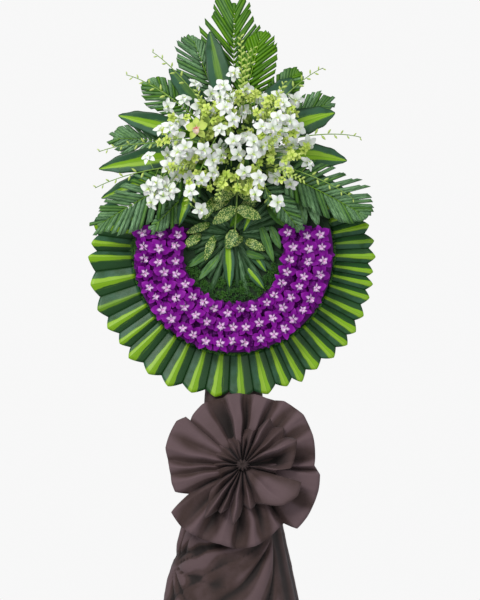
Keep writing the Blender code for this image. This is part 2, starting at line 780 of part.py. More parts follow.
def build_frond(name, stems):
    tip, layer, tip_y, first_share, leaflets, left_length, right_length = FRONDS[name]
    y = LAYERS[layer]
    exit_point = block_exit(tip, y)
    inner = inward(exit_point, tip)
    end = Vector((tip[0], tip_y, tip[1]))
    straight = exit_point.lerp(end, 0.5)
    sag = Vector((0.0, -0.004, 0.012))
    curve = (exit_point, straight + sag, end)
    stems.append((inner, exit_point, FROND_HOLE))

    shares = [first_share + (1 - first_share) * k / leaflets for k in range(leaflets + 1)]
    points = [inner, exit_point + 0.0005 * (exit_point - inner).normalized()]
    points += [bezier(curve, share) for share in shares]
    rings = []
    for index, point in enumerate(points):
        before = points[max(index - 1, 0)]
        after = points[min(index + 1, len(points) - 1)]
        along = (after - before).normalized()
        side, up = frame_along(along, Vector((0.0, -1.0, 0.0)))
        slim = 1.0 if index < 2 else 1.0 - 0.75 * (index - 2) / leaflets
        half_width, half_height = RIB_HALF_WIDTH * slim, RIB_HALF_HEIGHT * slim
        corners = ((1, 1), (1, -1), (-1, -1), (-1, 1))
        ring = [point + half_width * s * side + half_height * u * up for s, u in corners]
        rings.append((ring, along, side, up))

    bm = bmesh.new()
    made = [[bm.verts.new(point) for point in ring[0]] for ring in rings]
    bm.faces.new(list(reversed(made[0])))
    bm.faces.new(made[-1])
    for index, (lower, upper) in enumerate(zip(made, made[1:])):
        right_top, right_low, left_low, left_top = lower
        next_right_top, next_right_low, next_left_low, next_left_top = upper
        bm.faces.new((left_top, right_top, next_right_top, next_left_top))
        bm.faces.new((right_low, left_low, next_left_low, next_right_low))
        if index < 2:
            bm.faces.new((right_top, right_low, next_right_low, next_right_top))
            bm.faces.new((left_low, left_top, next_left_top, next_left_low))
            continue
        _, along, side, up = rings[index]
        place = (index - 2 + 0.5) / leaflets
        swell = math.sin(math.pi * (0.16 + 0.80 * place)) ** 0.75
        spread = math.radians(58 - 34 * place)
        for sign, longest, near, far in (
            (1, right_length, (right_top, right_low), (next_right_top, next_right_low)),
            (-1, left_length, (left_low, left_top), (next_left_low, next_left_top)),
        ):
            top_near, low_near = near if sign > 0 else near[::-1]
            top_far, low_far = far if sign > 0 else far[::-1]
            reach = longest * max(swell, SHORTEST_LEAFLET)
            root = (top_near.co + low_near.co + top_far.co + low_far.co) / 4
            out = math.cos(spread) * along + math.sin(spread) * sign * side + 0.05 * up
            end_point = root + reach * out
            top_tip = bm.verts.new(end_point + 0.5 * LEAFLET_THICKNESS * up)
            low_tip = bm.verts.new(end_point - 0.5 * LEAFLET_THICKNESS * up)
            bm.faces.new((top_near, top_far, top_tip))
            bm.faces.new((low_far, low_near, low_tip))
            bm.faces.new((top_near, top_tip, low_tip, low_near))
            bm.faces.new((top_far, low_far, low_tip, top_tip))
    add_object(name, bm, "palm_leaf")


def leaf_rings(points, half_widths, fold, up_hint):
    """Rings of a leaf folded along its middle: edge, rib and edge on the front, and the same behind."""
    rings = []
    for index, point in enumerate(points):
        before = points[max(index - 1, 0)]
        after = points[min(index + 1, len(points) - 1)]
        side, up = frame_along((after - before).normalized(), up_hint)
        half = half_widths[index]
        rise = fold * half
        left, right = point - half * side + rise * up, point + half * side + rise * up
        thick = LEAF_THICKNESS * up
        rings.append([left + thick, point + thick, right + thick, right, point - 0.6 * thick, left])
    return rings


def blade(bm, rings):
    """A thin leaf through such rings, split into triangles alike on both faces."""
    made = [[bm.verts.new(point) for point in ring] for ring in rings]
    for lower, upper in zip(made, made[1:]):
        for front_a, front_b, back_a, back_b in ((0, 1, 5, 4), (1, 2, 4, 3)):
            bm.faces.new((lower[front_a], lower[front_b], upper[front_b]))
            bm.faces.new((lower[front_a], upper[front_b], upper[front_a]))
            bm.faces.new((lower[back_a], upper[back_b], lower[back_b]))
            bm.faces.new((lower[back_a], upper[back_a], upper[back_b]))
        bm.faces.new((lower[2], lower[3], upper[3], upper[2]))
        bm.faces.new((lower[5], lower[0], upper[0], upper[5]))
    bm.faces.new(list(reversed(made[0])))
    bm.faces.new(made[-1])


LEAF_SHAPE = ((0.0, 0.12), (0.15, 0.75), (0.45, 1.0), (0.75, 0.78), (0.92, 0.36), (1.0, 0.04))


def build_broad_leaf(name, stems):
    tip, layer, start, half_width = BROAD_LEAVES[name]
    y = LAYERS[layer]
    exit_point = block_exit(tip, y)
    inner = inward(exit_point, tip)
    end = Vector((tip[0], y - 0.002, tip[1]))
    curve = (exit_point, exit_point.lerp(end, 0.5) + Vector((0.0, -0.004, 0.014)), end)
    stems.append((inner, exit_point, LEAF_HOLE))
    points = [inner, exit_point]
    widths = [0.0022, 0.0022]
    for share, width in LEAF_SHAPE:
        points.append(bezier(curve, start + (1 - start) * share))
        widths.append(max(half_width * width, 0.0015))
    rings = leaf_rings(points, widths, 0.16, Vector((0.0, -1.0, 0.0)))
    bm = bmesh.new()
    blade(bm, rings)
    add_object(name, bm, "striped_leaf")


# White sprays


def spray_curve(name):
    """(inner end, exit, control points) of a spray's stem."""
    (x, where, z), tip, tip_y, _, _, _ = SPRAYS[name]
    if where == "front":
        exit_point = Vector((x, BLOCK_FRONT, z))
        inner = exit_point + Vector((0.0, STEM_IN_BLOCK, 0.0))
        start = exit_point + Vector((0.0, -0.035, 0.0))
    else:
        exit_point = Vector((x, LAYERS[where], z))
        inner = inward(exit_point, tip)
        start = exit_point + (exit_point - inner)
    end = Vector((tip[0], tip_y, tip[1]))
    bulge = start.lerp(end, 0.55) + Vector((0.0, -0.045, 0.030))
    return inner, exit_point, (exit_point, start, bulge, end)


def spray_line(name):
    """The stem as straight pieces, from where it leaves the block to its tip."""
    _, _, curve = spray_curve(name)
    return [bezier(curve, k / SPRAY_STEPS) for k in range(SPRAY_STEPS + 1)]


def on_line(line, share):
    """A point on the straight pieces of a stem, and the direction there."""
    place = min(share, 0.9999) * (len(line) - 1)
    index = int(place)
    start, end = line[index], line[index + 1]
    return start.lerp(end, place - index), (end - start).normalized()


def clear_of_block(centre, reach):
    """Whether a bloom there stands beside, above or in front of the foam block."""
    if centre.y < BLOCK_FRONT - 0.015:
        return True
    beside = abs(centre.x) > BLOCK_HALF_WIDTH + reach
    return beside or abs(centre.z - BLOCK_Z) > BLOCK_HALF_HEIGHT + reach


def far_enough(centre, others, reach):
    for other in others:
        away = centre - other
        if (away.x**2 + away.z**2 + (away.y / FLATNESS) ** 2) < reach**2:
            return False
    return True


def place_white_blooms():
    """Blooms of every spray as {name: [(centre, facing, roll, root)]}, kept clear of the other sprays."""
    rng = random.Random(SPRAY_SEED)
    stems = {}
    for name in SPRAYS:
        line = spray_line(name)
        stems[name] = [on_line(line, k / 24)[0] for k in range(25)]
    placed = {name: [] for name in SPRAYS}
    green_stem = green_line()
    most = max(row[4] for row in SPRAYS.values())
    for turn in range(most):
        for name, (_, _, _, share, count, _) in SPRAYS.items():
            if turn >= count:
                continue
            line = spray_line(name)
            near = 0.18 if SPRAYS[name][0][1] != "front" else 0.28
            along = near + (share - near) * (turn + 0.5) / count
            root, ahead = on_line(line, along)
            side, up = frame_along(ahead, Vector((0.0, -1.0, 0.0)))
            own = [bloom_[0] for bloom_ in placed[name]]
            others = [bloom_[0] for key in SPRAYS if key != name for bloom_ in placed[key]]
            other_stems = green_stem + [p for key in SPRAYS if key != name for p in stems[key]]
            best, best_room = None, 0.0
            for _ in range(BLOOM_TRIES):
                angle = rng.uniform(-BLOOM_ARC, BLOOM_ARC) + math.pi / 2
                reach = rng.uniform(*BLOOM_REACH)
                centre = root + reach * (math.cos(angle) * side + math.sin(angle) * up) + 0.006 * ahead
                facing = (centre - root).normalized() * 0.55 + Vector((0.0, -1.0, 0.10))
                facing.normalize()
                clear = BLOOM_DEPTHS[0] < centre.y < BLOOM_DEPTHS[1]
                clear = clear and clear_of_block(centre, WHITE_RADIUS)
                clear = clear and far_enough(centre, others, 2.0 * WHITE_RADIUS)
                beside_green = math.hypot(centre.x - GREEN_FOOT[0], centre.z - GREEN_FOOT[2])
                clear = clear and beside_green > 2.0 * GREEN_RADIUS
                clear = clear and far_enough(centre, own, 1.35 * WHITE_RADIUS)
                clear = clear and far_enough(centre, other_stems, 1.25 * WHITE_RADIUS)
                room = min([math.hypot(centre.x - o.x, centre.z - o.z) for o in others + own], default=1.0)
                if clear and room > best_room:
                    best, best_room = (centre, facing, rng.uniform(-0.5, 0.5), root), room
            if best:
                placed[name].append(best)
    return placed


def build_spray(name, blooms, stems):
    _, _, _, share, _, buds = SPRAYS[name]
    inner, exit_point, _ = spray_curve(name)
    stems.append((inner, exit_point, STEM_HOLE))
    line = spray_line(name)
    slimmer = (STEM_TIP_RADIUS - STEM_RADIUS) / SPRAY_STEPS
    radii = [STEM_RADIUS] + [STEM_RADIUS + slimmer * k for k in range(SPRAY_STEPS + 1)]
    pieces = [bmesh.new()]
    loft(pieces[0], tube_rings([inner] + line, radii, 4))
    for centre, facing, roll, root in blooms:
        pieces.append(bmesh.new())
        bloom(pieces[-1], centre, facing, roll, WHITE_RADIUS, root)
    for index in range(buds):
        along = share + (1.0 - share) * (index + 0.6) / buds
        root, ahead = on_line(line, along)
        side, _ = frame_along(ahead, Vector((0.0, -1.0, 0.0)))
        lean = (ahead * 0.6 + side * (0.8 if index % 2 else -0.8)).normalized()
        length = 0.024 - 0.010 * index / max(buds, 1)
        pieces.append(bmesh.new())
        bud(pieces[-1], root + 0.42 * length * lean, lean, length, 0.30 * length)
    fuse(name, pieces, "white_petal")


def green_line():
    """The yellow-green orchid's stem, from where it leaves the block to the foot of the bloom."""
    exit_point = Vector((GREEN_EXIT[0], BLOCK_FRONT, GREEN_EXIT[1]))
    curve = (exit_point, exit_point + Vector((0.0, -0.03, 0.0)), Vector(GREEN_FOOT))
    return [bezier(curve, k / 4) for k in range(5)]


def build_green_orchid(stems):
    line = green_line()
    inner = line[0] + Vector((0.0, STEM_IN_BLOCK, 0.0))
    stems.append((inner, line[0], STEM_HOLE))
    pieces = [bmesh.new(), bmesh.new()]
    loft(pieces[0], tube_rings([inner] + line, [STEM_RADIUS] * 6, 5))
    facing = Vector(GREEN_FACING).normalized()
    bloom(pieces[1], line[-1] + 0.010 * facing, facing, 0.1, GREEN_RADIUS, line[-1].lerp(line[-2], 0.3))
    fuse("green_orchid", pieces, "green_petal")


# Greens over the middle of the disc


def strip_reach(angle):
    """How far a palm strip runs from the hub before it meets the orchids or the foam block."""
    dx, dz = math.cos(angle), math.sin(angle)
    if dz > OPEN_SLOPE:
        ceiling = BLOCK_Z - BLOCK_HALF_HEIGHT - 0.003 - INNER_HUB[1]
        under_block = abs(dx) * ceiling / dz < BLOCK_HALF_WIDTH + 0.012
        return ceiling / dz if under_block else LONG_STRIP
    rise = INNER_HUB[1] - HEAD_Z
    return -rise * dz + math.sqrt((rise * dz) ** 2 - rise**2 + INNER_RADIUS**2)


def build_inner_fan():
    """Palm strips laid out from one hub, as one thin star that lies on the disc."""
    rng = random.Random(9)
    hub = Vector((INNER_HUB[0], DISC_FRONT - GAP, INNER_HUB[1]))
    outline = []
    for index in range(2 * INNER_STRIPS):
        angle = math.pi * index / INNER_STRIPS
        reach = strip_reach(angle)
        outline.append((reach * (rng.uniform(0.92, 1.0) if index % 2 else 0.55), angle))
    rings = []
    for lift in (0.0, STRIP_THICKNESS):
        rings.append([hub + Vector((r * math.cos(a), -lift, r * math.sin(a))) for r, a in outline])
    bm = bmesh.new()
    loft(bm, rings)
    add_object("inner_palm_strips", bm, "palm_leaf")


def laid_leaf(name, start, end, half_width, lift, slot):
    """A leaf whose foot rests on the palm strips and whose middle arches off them."""
    foot_y = DISC_FRONT - 2 * GAP - STRIP_THICKNESS - 0.0008
    first = Vector((start[0], foot_y, start[1]))
    last = Vector((end[0], foot_y - 0.5 * lift, end[1]))
    curve = (first, first.lerp(last, 0.5) + Vector((0.0, -lift, 0.0)), last)
    points = [bezier(curve, share) for share, _ in LEAF_SHAPE]
    widths = [max(half_width * width, 0.0015) for _, width in LEAF_SHAPE]
    bm = bmesh.new()
    blade(bm, leaf_rings(points, widths, 0.22, Vector((0.0, -1.0, 0.0))))
    add_object(name, bm, slot)


def build_speckled_sprig(stems):
    """A stem hanging from the block with speckled leaves at its joints."""
    exit_point = Vector((*SPRIG_EXIT, BLOCK_Z - BLOCK_HALF_HEIGHT))
    inner = exit_point + Vector((0.0, 0.0, STEM_IN_BLOCK))
    stems.append((inner, exit_point, STEM_HOLE))
    curve = (exit_point, exit_point + Vector((0.0, -0.004, -0.06)), Vector(SPRIG_TIP))
    pieces = [bmesh.new()]
    points = [inner] + [bezier(curve, k / 5) for k in range(6)]
    loft(pieces[0], tube_rings(points, [STEM_RADIUS] * 7, 5))
    for share, angle, length in SPRIG_LEAVES:
        root = bezier(curve, share)
        turn = math.radians(angle)
        along = Vector((math.cos(turn), -0.12, math.sin(turn))).normalized()
        arch = [Vector((0.0, -0.020 * s * (1 - s), 0.0)) for s, _ in LEAF_SHAPE]
        points = [root + along * length * s + lift for (s, _), lift in zip(LEAF_SHAPE, arch)]
        widths = [max(SPRIG_HALF_WIDTH * width, 0.0018) for _, width in LEAF_SHAPE]
        pieces.append(bmesh.new())
        blade(pieces[-1], leaf_rings(points, widths, 0.20, Vector((0.0, -1.0, 0.0))))
    fuse("speckled_sprig", pieces, "speckled_leaf")


def main():
    clear_scene()
    build_stand()
    build_head_block()
    skirt = build_skirt()
    build_bow(skirt)
    build_board_and_disc()
    build_ruff()
    build_band()
    stems = []
    for name in FRONDS:
        build_frond(name, stems)
    for name in BROAD_LEAVES:
        build_broad_leaf(name, stems)
    blooms = place_white_blooms()
    for name in SPRAYS:
        build_spray(name, blooms[name], stems)
    build_green_orchid(stems)
    build_inner_fan()
    laid_leaf("inner_striped_leaf", (-0.016, 1.190), (-0.012, 1.045), 0.019, 0.016, "striped_leaf")
    laid_leaf("inner_dark_leaf", (0.040, 1.170), (0.098, 1.092), 0.015, 0.012, "striped_leaf")
    build_speckled_sprig(stems)
    build_block(stems)


main()
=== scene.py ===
import math
import random

import bmesh
import bpy
from mathutils import Matrix, Vector, noise
from mathutils.bvhtree import BVHTree


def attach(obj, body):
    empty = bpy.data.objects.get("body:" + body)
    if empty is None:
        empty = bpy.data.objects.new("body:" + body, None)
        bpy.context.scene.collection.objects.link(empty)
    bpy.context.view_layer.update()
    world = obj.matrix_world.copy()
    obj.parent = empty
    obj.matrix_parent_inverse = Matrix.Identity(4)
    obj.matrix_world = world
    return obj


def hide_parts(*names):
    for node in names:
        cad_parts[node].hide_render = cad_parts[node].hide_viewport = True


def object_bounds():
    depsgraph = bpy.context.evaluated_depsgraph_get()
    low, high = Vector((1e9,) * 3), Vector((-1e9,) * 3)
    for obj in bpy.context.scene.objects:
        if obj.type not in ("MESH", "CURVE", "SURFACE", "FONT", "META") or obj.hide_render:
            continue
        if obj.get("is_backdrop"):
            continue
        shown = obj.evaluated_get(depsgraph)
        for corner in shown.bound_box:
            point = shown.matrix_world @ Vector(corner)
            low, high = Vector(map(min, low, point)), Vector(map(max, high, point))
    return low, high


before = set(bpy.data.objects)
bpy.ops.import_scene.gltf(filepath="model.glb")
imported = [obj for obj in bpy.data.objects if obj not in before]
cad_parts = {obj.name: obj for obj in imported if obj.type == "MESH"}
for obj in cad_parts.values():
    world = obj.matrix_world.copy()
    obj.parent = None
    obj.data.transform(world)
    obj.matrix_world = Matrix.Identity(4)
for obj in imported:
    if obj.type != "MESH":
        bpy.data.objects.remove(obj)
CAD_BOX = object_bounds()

bl_info = {
    "name": "Standing funeral wreath",
    "version": (1, 0, 0),
    "blender": (4, 5, 0),
    "location": "3D View > Sidebar > Wreath",
    "description": "Dresses the fixed frame of a standing funeral wreath with leaves, orchids and cloth",
    "category": "Object",
}

FRONT = Vector((0.0, -1.0, 0.0))

# The round head, in metres, as the solids have it
GAP = 0.0003
HEAD_Z = 1.149
DISC_FRONT = -0.0503
DISC_RADIUS = 0.300
BLOCK_HALF_WIDTH = 0.095
BLOCK_HALF_HEIGHT = 0.075
BLOCK_Z = 1.450
BLOCK_FRONT = -0.1506
STEM_IN_BLOCK = 0.035
STALK_RADIUS = 0.0022

# The ruff: angle in degrees from +X and radius of each folded leaf's tip
RUFF_TIPS = {
    "ruff_left": (
        (161.0, 0.420), (168.5, 0.429), (176.0, 0.428), (182.0, 0.437), (193.0, 0.440), (203.0, 0.443),
        (210.7, 0.441), (219.0, 0.437),
    ),
    "ruff_lower_left": (
        (225.5, 0.446), (235.2, 0.444), (243.4, 0.446), (253.4, 0.438), (263.2, 0.435), (273.0, 0.437),
        (283.3, 0.436),
    ),
    "ruff_lower_right": (
        (291.8, 0.431), (298.0, 0.438), (305.3, 0.429), (314.0, 0.435), (320.6, 0.439), (327.6, 0.437),
        (334.2, 0.434),
    ),
    "ruff_right": (
        (341.5, 0.430), (347.3, 0.429), (352.6, 0.423), (358.6, 0.427), (365.4, 0.424), (371.4, 0.416),
        (378.5, 0.408), (386.0, 0.400),
    ),
}
RUFF_NOTCH = 0.018
RUFF_INNER = 0.3035
RUFF_CURL = 0.010
RUFF_SEED = 21
# Share of a leaf's half width that the rounded ridge takes up
RIDGE_SHARE = 0.14

# The horseshoe of purple orchids: each piece from one angle to another, cut level at both upper ends
BAND_PIECES = {
    "left": (148.0, 207.0),
    "lower_left": (207.0, 250.0),
    "bottom": (250.0, 293.0),
    "lower_right": (293.0, 336.0),
    "right": (336.0, 392.0),
}
BAND_RISE = 0.073
BAND_ROWS = (0.175, 0.222, 0.268)
BAND_PITCH = 0.0395
BAND_INNER = 0.150
BAND_OUTER = 0.297
PURPLE_Y = -0.081
PURPLE_LEAN = 0.28
BAND_SEED = 3
BLOOM_SEED = 8
# Plainer blooms, darkened with painted shade, that fill the gaps under each orchid: how many, how deep, how
# far aside, and the nearest and furthest from the middle of the head
UNDER_BLOOMS = 3
UNDER_Y = -0.0665
UNDER_SPREAD = 0.024
UNDER_REACH = (0.170, 0.276)

# Depths of the layers of fronds, leaves and sprays, back to front
LAYERS = {"A": -0.059, "B": -0.073, "C": -0.087, "D": -0.101, "E": -0.117, "F": -0.134}

# Palm fronds: tip, layer, depth at the tip, first leaflet, leaflets a side, longest on the left and right
FRONDS = {
    "frond_top": ((0.002, 1.872), "A", -0.050, 0.10, 20, 0.138, 0.126),
    "frond_upper_left": ((-0.118, 1.778), "B", -0.070, 0.15, 15, 0.105, 0.070),
    "frond_upper_right": ((0.080, 1.790), "B", -0.070, 0.15, 15, 0.070, 0.105),
    "frond_right_up": ((0.186, 1.678), "C", -0.090, 0.20, 12, 0.060, 0.070),
    "frond_left_up": ((-0.245, 1.655), "A", -0.055, 0.20, 13, 0.085, 0.065),
    "frond_left": ((-0.345, 1.490), "A", -0.055, 0.30, 13, 0.075, 0.080),
    "frond_left_low": ((-0.385, 1.236), "D", -0.112, 0.18, 18, 0.100, 0.100),
    "frond_right": ((0.278, 1.590), "B", -0.072, 0.25, 13, 0.070, 0.065),
    "frond_right_low": ((0.378, 1.262), "D", -0.112, 0.18, 18, 0.115, 0.095),
    "frond_inner_right": ((0.190, 1.222), "C", -0.104, 0.15, 11, 0.055, 0.045),
    "frond_inner_left": ((-0.235, 1.222), "C", -0.104, 0.15, 13, 0.060, 0.050),
}
# A frond's shortest leaflet as a share of its longest
SHORTEST_LEAFLET = {
    "frond_top": 0.78, "frond_upper_left": 0.30, "frond_upper_right": 0.32, "frond_right_up": 0.30,
    "frond_right_low": 0.26, "frond_left_up": 0.36,
}
# Angle between stalk and leaflets at a frond's foot, in degrees, and how much less it is at the tip
FOOT_SPREAD = 58
LESS_SPREAD = 34
# Shade of each frond, 0 bluish and dark to 1 yellow-green
FROND_TONES = {
    "frond_top": 0.74, "frond_upper_left": 0.12, "frond_upper_right": 1.0, "frond_right_up": 0.55,
    "frond_left_up": 0.42, "frond_left": 0.22, "frond_left_low": 0.30, "frond_right": 0.30,
    "frond_right_low": 0.26, "frond_inner_right": 0.22, "frond_inner_left": 0.26,
}

# Broad striped leaves: tip, layer, share of the way where the blade starts, half width, shade
BROAD_LEAVES = {
    "broad_leaf_top": ((-0.070, 1.803), "C", 0.12, 0.031, 0.12),
    "broad_leaf_upper_left": ((-0.190, 1.690), "D", 0.12, 0.027, 0.05),
    "broad_leaf_left_up": ((-0.342, 1.556), "B", 0.14, 0.030, 0.65),
    "broad_leaf_left": ((-0.398, 1.396), "C", 0.14, 0.031, 0.95),
    "broad_leaf_left_low": ((-0.392, 1.310), "B", 0.16, 0.027, 0.45),
    "broad_leaf_upper_right": ((0.176, 1.662), "D", 0.12, 0.031, 0.08),
    "broad_leaf_right_up": ((0.300, 1.560), "D", 0.14, 0.036, 0.50),
    "broad_leaf_right": ((0.336, 1.420), "C", 0.14, 0.033, 0.90),
    "broad_leaf_right_low": ((0.362, 1.296), "B", 0.16, 0.030, 0.40),
}
# A leaf's half width along it, as shares of its length and of its full half width
LEAF_SHAPE = ((0.0, 0.12), (0.15, 0.75), (0.45, 1.0), (0.75, 0.78), (0.92, 0.36), (1.0, 0.04))

# White sprays: where the stem leaves the block, tip, depth at the tip, share of the stem with blooms,
# number of blooms, number of buds
SPRAYS = {
    "white_spray_top": ((0.020, "E", 1.525), (0.060, 1.742), -0.175, 0.66, 4, 3),
    "white_spray_upper_right": ((0.070, "E", 1.525), (0.262, 1.684), -0.160, 0.58, 5, 4),
    "white_spray_right": ((0.095, "E", 1.470), (0.372, 1.482), -0.160, 0.55, 5, 4),
    "white_spray_right_low": ((0.095, "F", 1.415), (0.352, 1.300), -0.165, 0.55, 4, 4),
    "white_spray_upper_left": ((-0.040, "E", 1.525), (-0.236, 1.730), -0.165, 0.55, 5, 4),
    "white_spray_left_up": ((-0.085, "F", 1.525), (-0.312, 1.664), -0.160, 0.52, 4, 4),
    "white_spray_left": ((-0.095, "E", 1.465), (-0.392, 1.440), -0.160, 0.52, 5, 4),
    "white_spray_left_low": ((-0.095, "F", 1.410), (-0.402, 1.334), -0.165, 0.58, 6, 4),
    "white_spray_down_left": ((-0.040, "front", 1.498), (-0.135, 1.268), -0.205, 1.0, 7, 0),
    "white_spray_down_right": ((0.030, "front", 1.498), (0.110, 1.272), -0.205, 1.0, 7, 0),
    "white_spray_front_left": ((-0.068, "front", 1.438), (-0.172, 1.468), -0.215, 1.0, 6, 0),
    "white_spray_front": ((-0.006, "front", 1.400), (-0.010, 1.620), -0.215, 1.0, 7, 0),
    "white_spray_front_right": ((0.068, "front", 1.442), (0.168, 1.540), -0.215, 1.0, 7, 0),
}
# Blooms of the lower left spray that hang in front of the fronds: (x, z)
LEFT_LOW_CLUSTER = (
    (-0.246, 1.330), (-0.224, 1.346), (-0.197, 1.338), (-0.230, 1.312), (-0.204, 1.310), (-0.182, 1.326),
    (-0.238, 1.290),
)
SPRAY_SEED = 11
SPRAY_STEPS = 6
WHITE_REACH = 0.0262
FLATNESS = 0.50
BLOOM_TRIES = 90
BLOOM_ARC = 1.9
BLOOM_REACH = (0.020, 0.044)
BLOOM_DEPTHS = (-0.262, -0.146)

# The yellow-green orchid: where its stem leaves the block, the bloom's foot and radius
GREEN_EXIT = (-0.072, 1.480)
GREEN_FOOT = (-0.104, -0.212, 1.500)
GREEN_FACING = (-0.15, -1.0, 0.10)
GREEN_REACH = 0.032

# The speckled sprig
SPRIG_EXIT = (0.012, -0.117)
SPRIG_TIP = (0.004, -0.096, 1.205)
SPRIG_LEAVES = (
    (0.30, 205, 0.078), (0.30, -30, 0.072), (0.62, 215, 0.086), (0.62, -25, 0.080), (0.95, 248, 0.062),
)
SPRIG_HALF_WIDTH = 0.019

# Greens over the middle of the disc
INNER_HUB = (0.0, 1.205)
INNER_STRIPS = 21
INNER_RADIUS = 0.147
LONG_STRIP = 0.225
OPEN_SLOPE = 0.28
STRIP_SEED = 9
SHADE_SEED = 14
STRIP_HALF_WIDTH = 0.0105
INNER_THICKNESS = 0.0006
# How far in front of the disc the leaves of the inner field start
INNER_LIFT = 0.0020

# The skirt: height, half width, half depth and middle depth of each row of cloth, hem first
SKIRT_ROWS = (
    (0.003, 0.2250, 0.2230, 0.0420),
    (0.300, 0.1550, 0.1550, 0.0410),
    (0.500, 0.1150, 0.1100, 0.0400),
    (0.660, 0.0930, 0.0700, 0.0400),
    (0.757, 0.0850, 0.0430, 0.0400),
    (0.797, 0.0830, 0.0380, 0.0400),
)
SQUARENESS = 2.5
# Where the skirt's two wraps fan out: angle from +X, height and radius of the cloth there, and the side
# they fan to
RIGHT_WRAP = (math.radians(318), 0.315, 0.155, -1)
LEFT_WRAP = (math.radians(202), 0.215, 0.20, 1)

# The bow
BOW_CENTRE = (0.0270, 0.494)
BOW_LEAN = math.radians(13.6)
BOW_LIFT = 0.024
PEG_RADIUS = 0.006
FOLD_COLUMNS = 8
PEG_END = 0.035
# The knot: half its width, depth and height, and the depth of its gathers as a share
KNOT_SIZE = (0.018, 0.013, 0.015)
KNOT_PLEAT = 0.16
# Lowest and highest ridge or valley of each fan of folds, between which the painted shades run
BACK_SPAN = (-0.012, 0.014)
FRONT_SPAN = (0.002, 0.044)
# Back folds, anticlockwise from +X: angle, radius, height of the ridge or valley
BACK_FOLDS = (
    (0, 0.212, 0.012), (8, 0.218, -0.009), (23, 0.227, 0.012), (31, 0.232, -0.007), (40, 0.237, 0.015),
    (48, 0.234, -0.007), (57, 0.230, 0.010), (64, 0.221, -0.012), (70, 0.214, 0.012), (80, 0.217, 0.008),
    (85, 0.218, -0.013), (89, 0.218, -0.008), (92, 0.217, 0.010), (102, 0.216, 0.013), (106, 0.215, -0.013),
    (117, 0.219, -0.010), (123, 0.220, 0.008), (134, 0.213, 0.008), (141, 0.204, -0.012), (139, 0.224, 0.002),
    (146, 0.237, 0.014), (156, 0.237, 0.000), (167, 0.234, 0.013), (175, 0.222, -0.006), (181, 0.217, 0.009),
    (187, 0.214, -0.005), (194, 0.215, 0.012), (201, 0.213, 0.006), (207, 0.178, -0.012), (213, 0.250, 0.004),
    (225, 0.253, -0.009), (232, 0.250, 0.012), (240, 0.245, -0.013), (246, 0.241, -0.004),
    (254, 0.239, 0.013), (261, 0.241, 0.004), (265, 0.242, -0.013), (272, 0.240, -0.006), (279, 0.238, 0.013),
    (287, 0.227, -0.013), (300, 0.211, 0.008), (306, 0.206, -0.013), (311, 0.244, 0.005), (321, 0.242, 0.012),
    (330, 0.238, -0.006), (342, 0.235, 0.009), (353, 0.230, 0.013), (357, 0.222, -0.006),
)
# Front loops: angle, radius, height half way out, height at the rim
FRONT_LOOPS = (
    (-80, 0.135, 0.040, 0.046), (-70, 0.118, 0.008, 0.014), (-62, 0.132, 0.036, 0.044),
    (-45, 0.171, 0.048, 0.064), (-30, 0.186, 0.040, 0.058), (-17, 0.180, 0.024, 0.044),
    (-15, 0.104, 0.004, 0.008), (-10, 0.100, 0.042, 0.046), (-5, 0.142, 0.020, 0.050),
    (3, 0.150, 0.002, 0.044), (14, 0.162, 0.000, 0.056), (23, 0.173, 0.052, 0.068), (27, 0.168, 0.044, 0.050),
    (34, 0.150, 0.012, 0.014), (42, 0.166, 0.034, 0.022), (51, 0.148, 0.010, 0.008),
    (60, 0.160, 0.042, 0.042), (67, 0.122, 0.006, 0.008), (73, 0.104, 0.036, 0.036),
    (80, 0.112, 0.010, 0.010), (88, 0.110, 0.028, -0.008), (94, 0.090, 0.002, -0.008),
    (101, 0.102, 0.036, -0.008), (109, 0.090, 0.022, -0.008), (118, 0.104, 0.034, -0.008),
    (128, 0.088, 0.004, -0.008), (137, 0.108, 0.036, -0.008), (146, 0.098, 0.022, -0.008),
    (155, 0.102, 0.034, -0.008), (166, 0.086, 0.002, -0.008), (178, 0.100, 0.034, -0.008),
    (183, 0.080, 0.004, -0.008), (189, 0.092, 0.034, -0.008), (200, 0.090, 0.028, -0.008),
    (210, 0.084, 0.004, -0.008), (219, 0.124, 0.034, 0.010), (228, 0.150, 0.006, 0.006),
    (235, 0.194, 0.040, 0.050), (241, 0.150, 0.004, 0.010), (246, 0.158, 0.036, 0.052),
    (253, 0.126, 0.002, 0.008), (261, 0.180, 0.044, 0.056), (267, 0.150, 0.022, 0.030),
    (271, 0.112, 0.002, 0.008),
)


# Sizes and colours that a user may change


def length(name, description, default, least=0.0, most=1.0):
    return bpy.props.FloatProperty(
        name=name, description=description, default=default, min=least, max=most, unit="LENGTH", precision=4
    )


def colour(name, description, default):
    return bpy.props.FloatVectorProperty(
        name=name, description=description, default=default, size=3, min=0.0, max=1.0, subtype="COLOR"
    )


def power(name, description, default):
    return bpy.props.FloatProperty(name=name, description=description, default=default, unit="POWER")


class WreathLeafSettings(bpy.types.PropertyGroup):
    """Sizes of the leaves, fronds and moss."""

    ruff_height: length("Ruff height", "How far a ridge stands off its valleys", 0.016, 0.0, 0.05)
    leaf_thickness: length("Leaf thickness", "Thickness of every leaf blade", 0.0006, 0.0001, 0.003)
    leaflet_width: length("Leaflet width", "Half width of a palm leaflet", 0.0064, 0.002, 0.02)
    moss_length: length("Moss length", "Length of a sprig of moss", 0.017, 0.004, 0.05)


class WreathBloomSettings(bpy.types.PropertyGroup):
    """Sizes of the orchids."""

    purple_radius: length("Purple orchid", "Radius of a purple orchid", 0.0288, 0.01, 0.05)
    white_radius: length("White orchid", "Radius of a white orchid", 0.0268, 0.01, 0.05)
    green_radius: length("Green orchid", "Radius of the yellow-green orchid", 0.034, 0.01, 0.06)
    stem_radius: length("Spray stem", "Radius of a spray's stem at the block", 0.0025, 0.0005, 0.006)


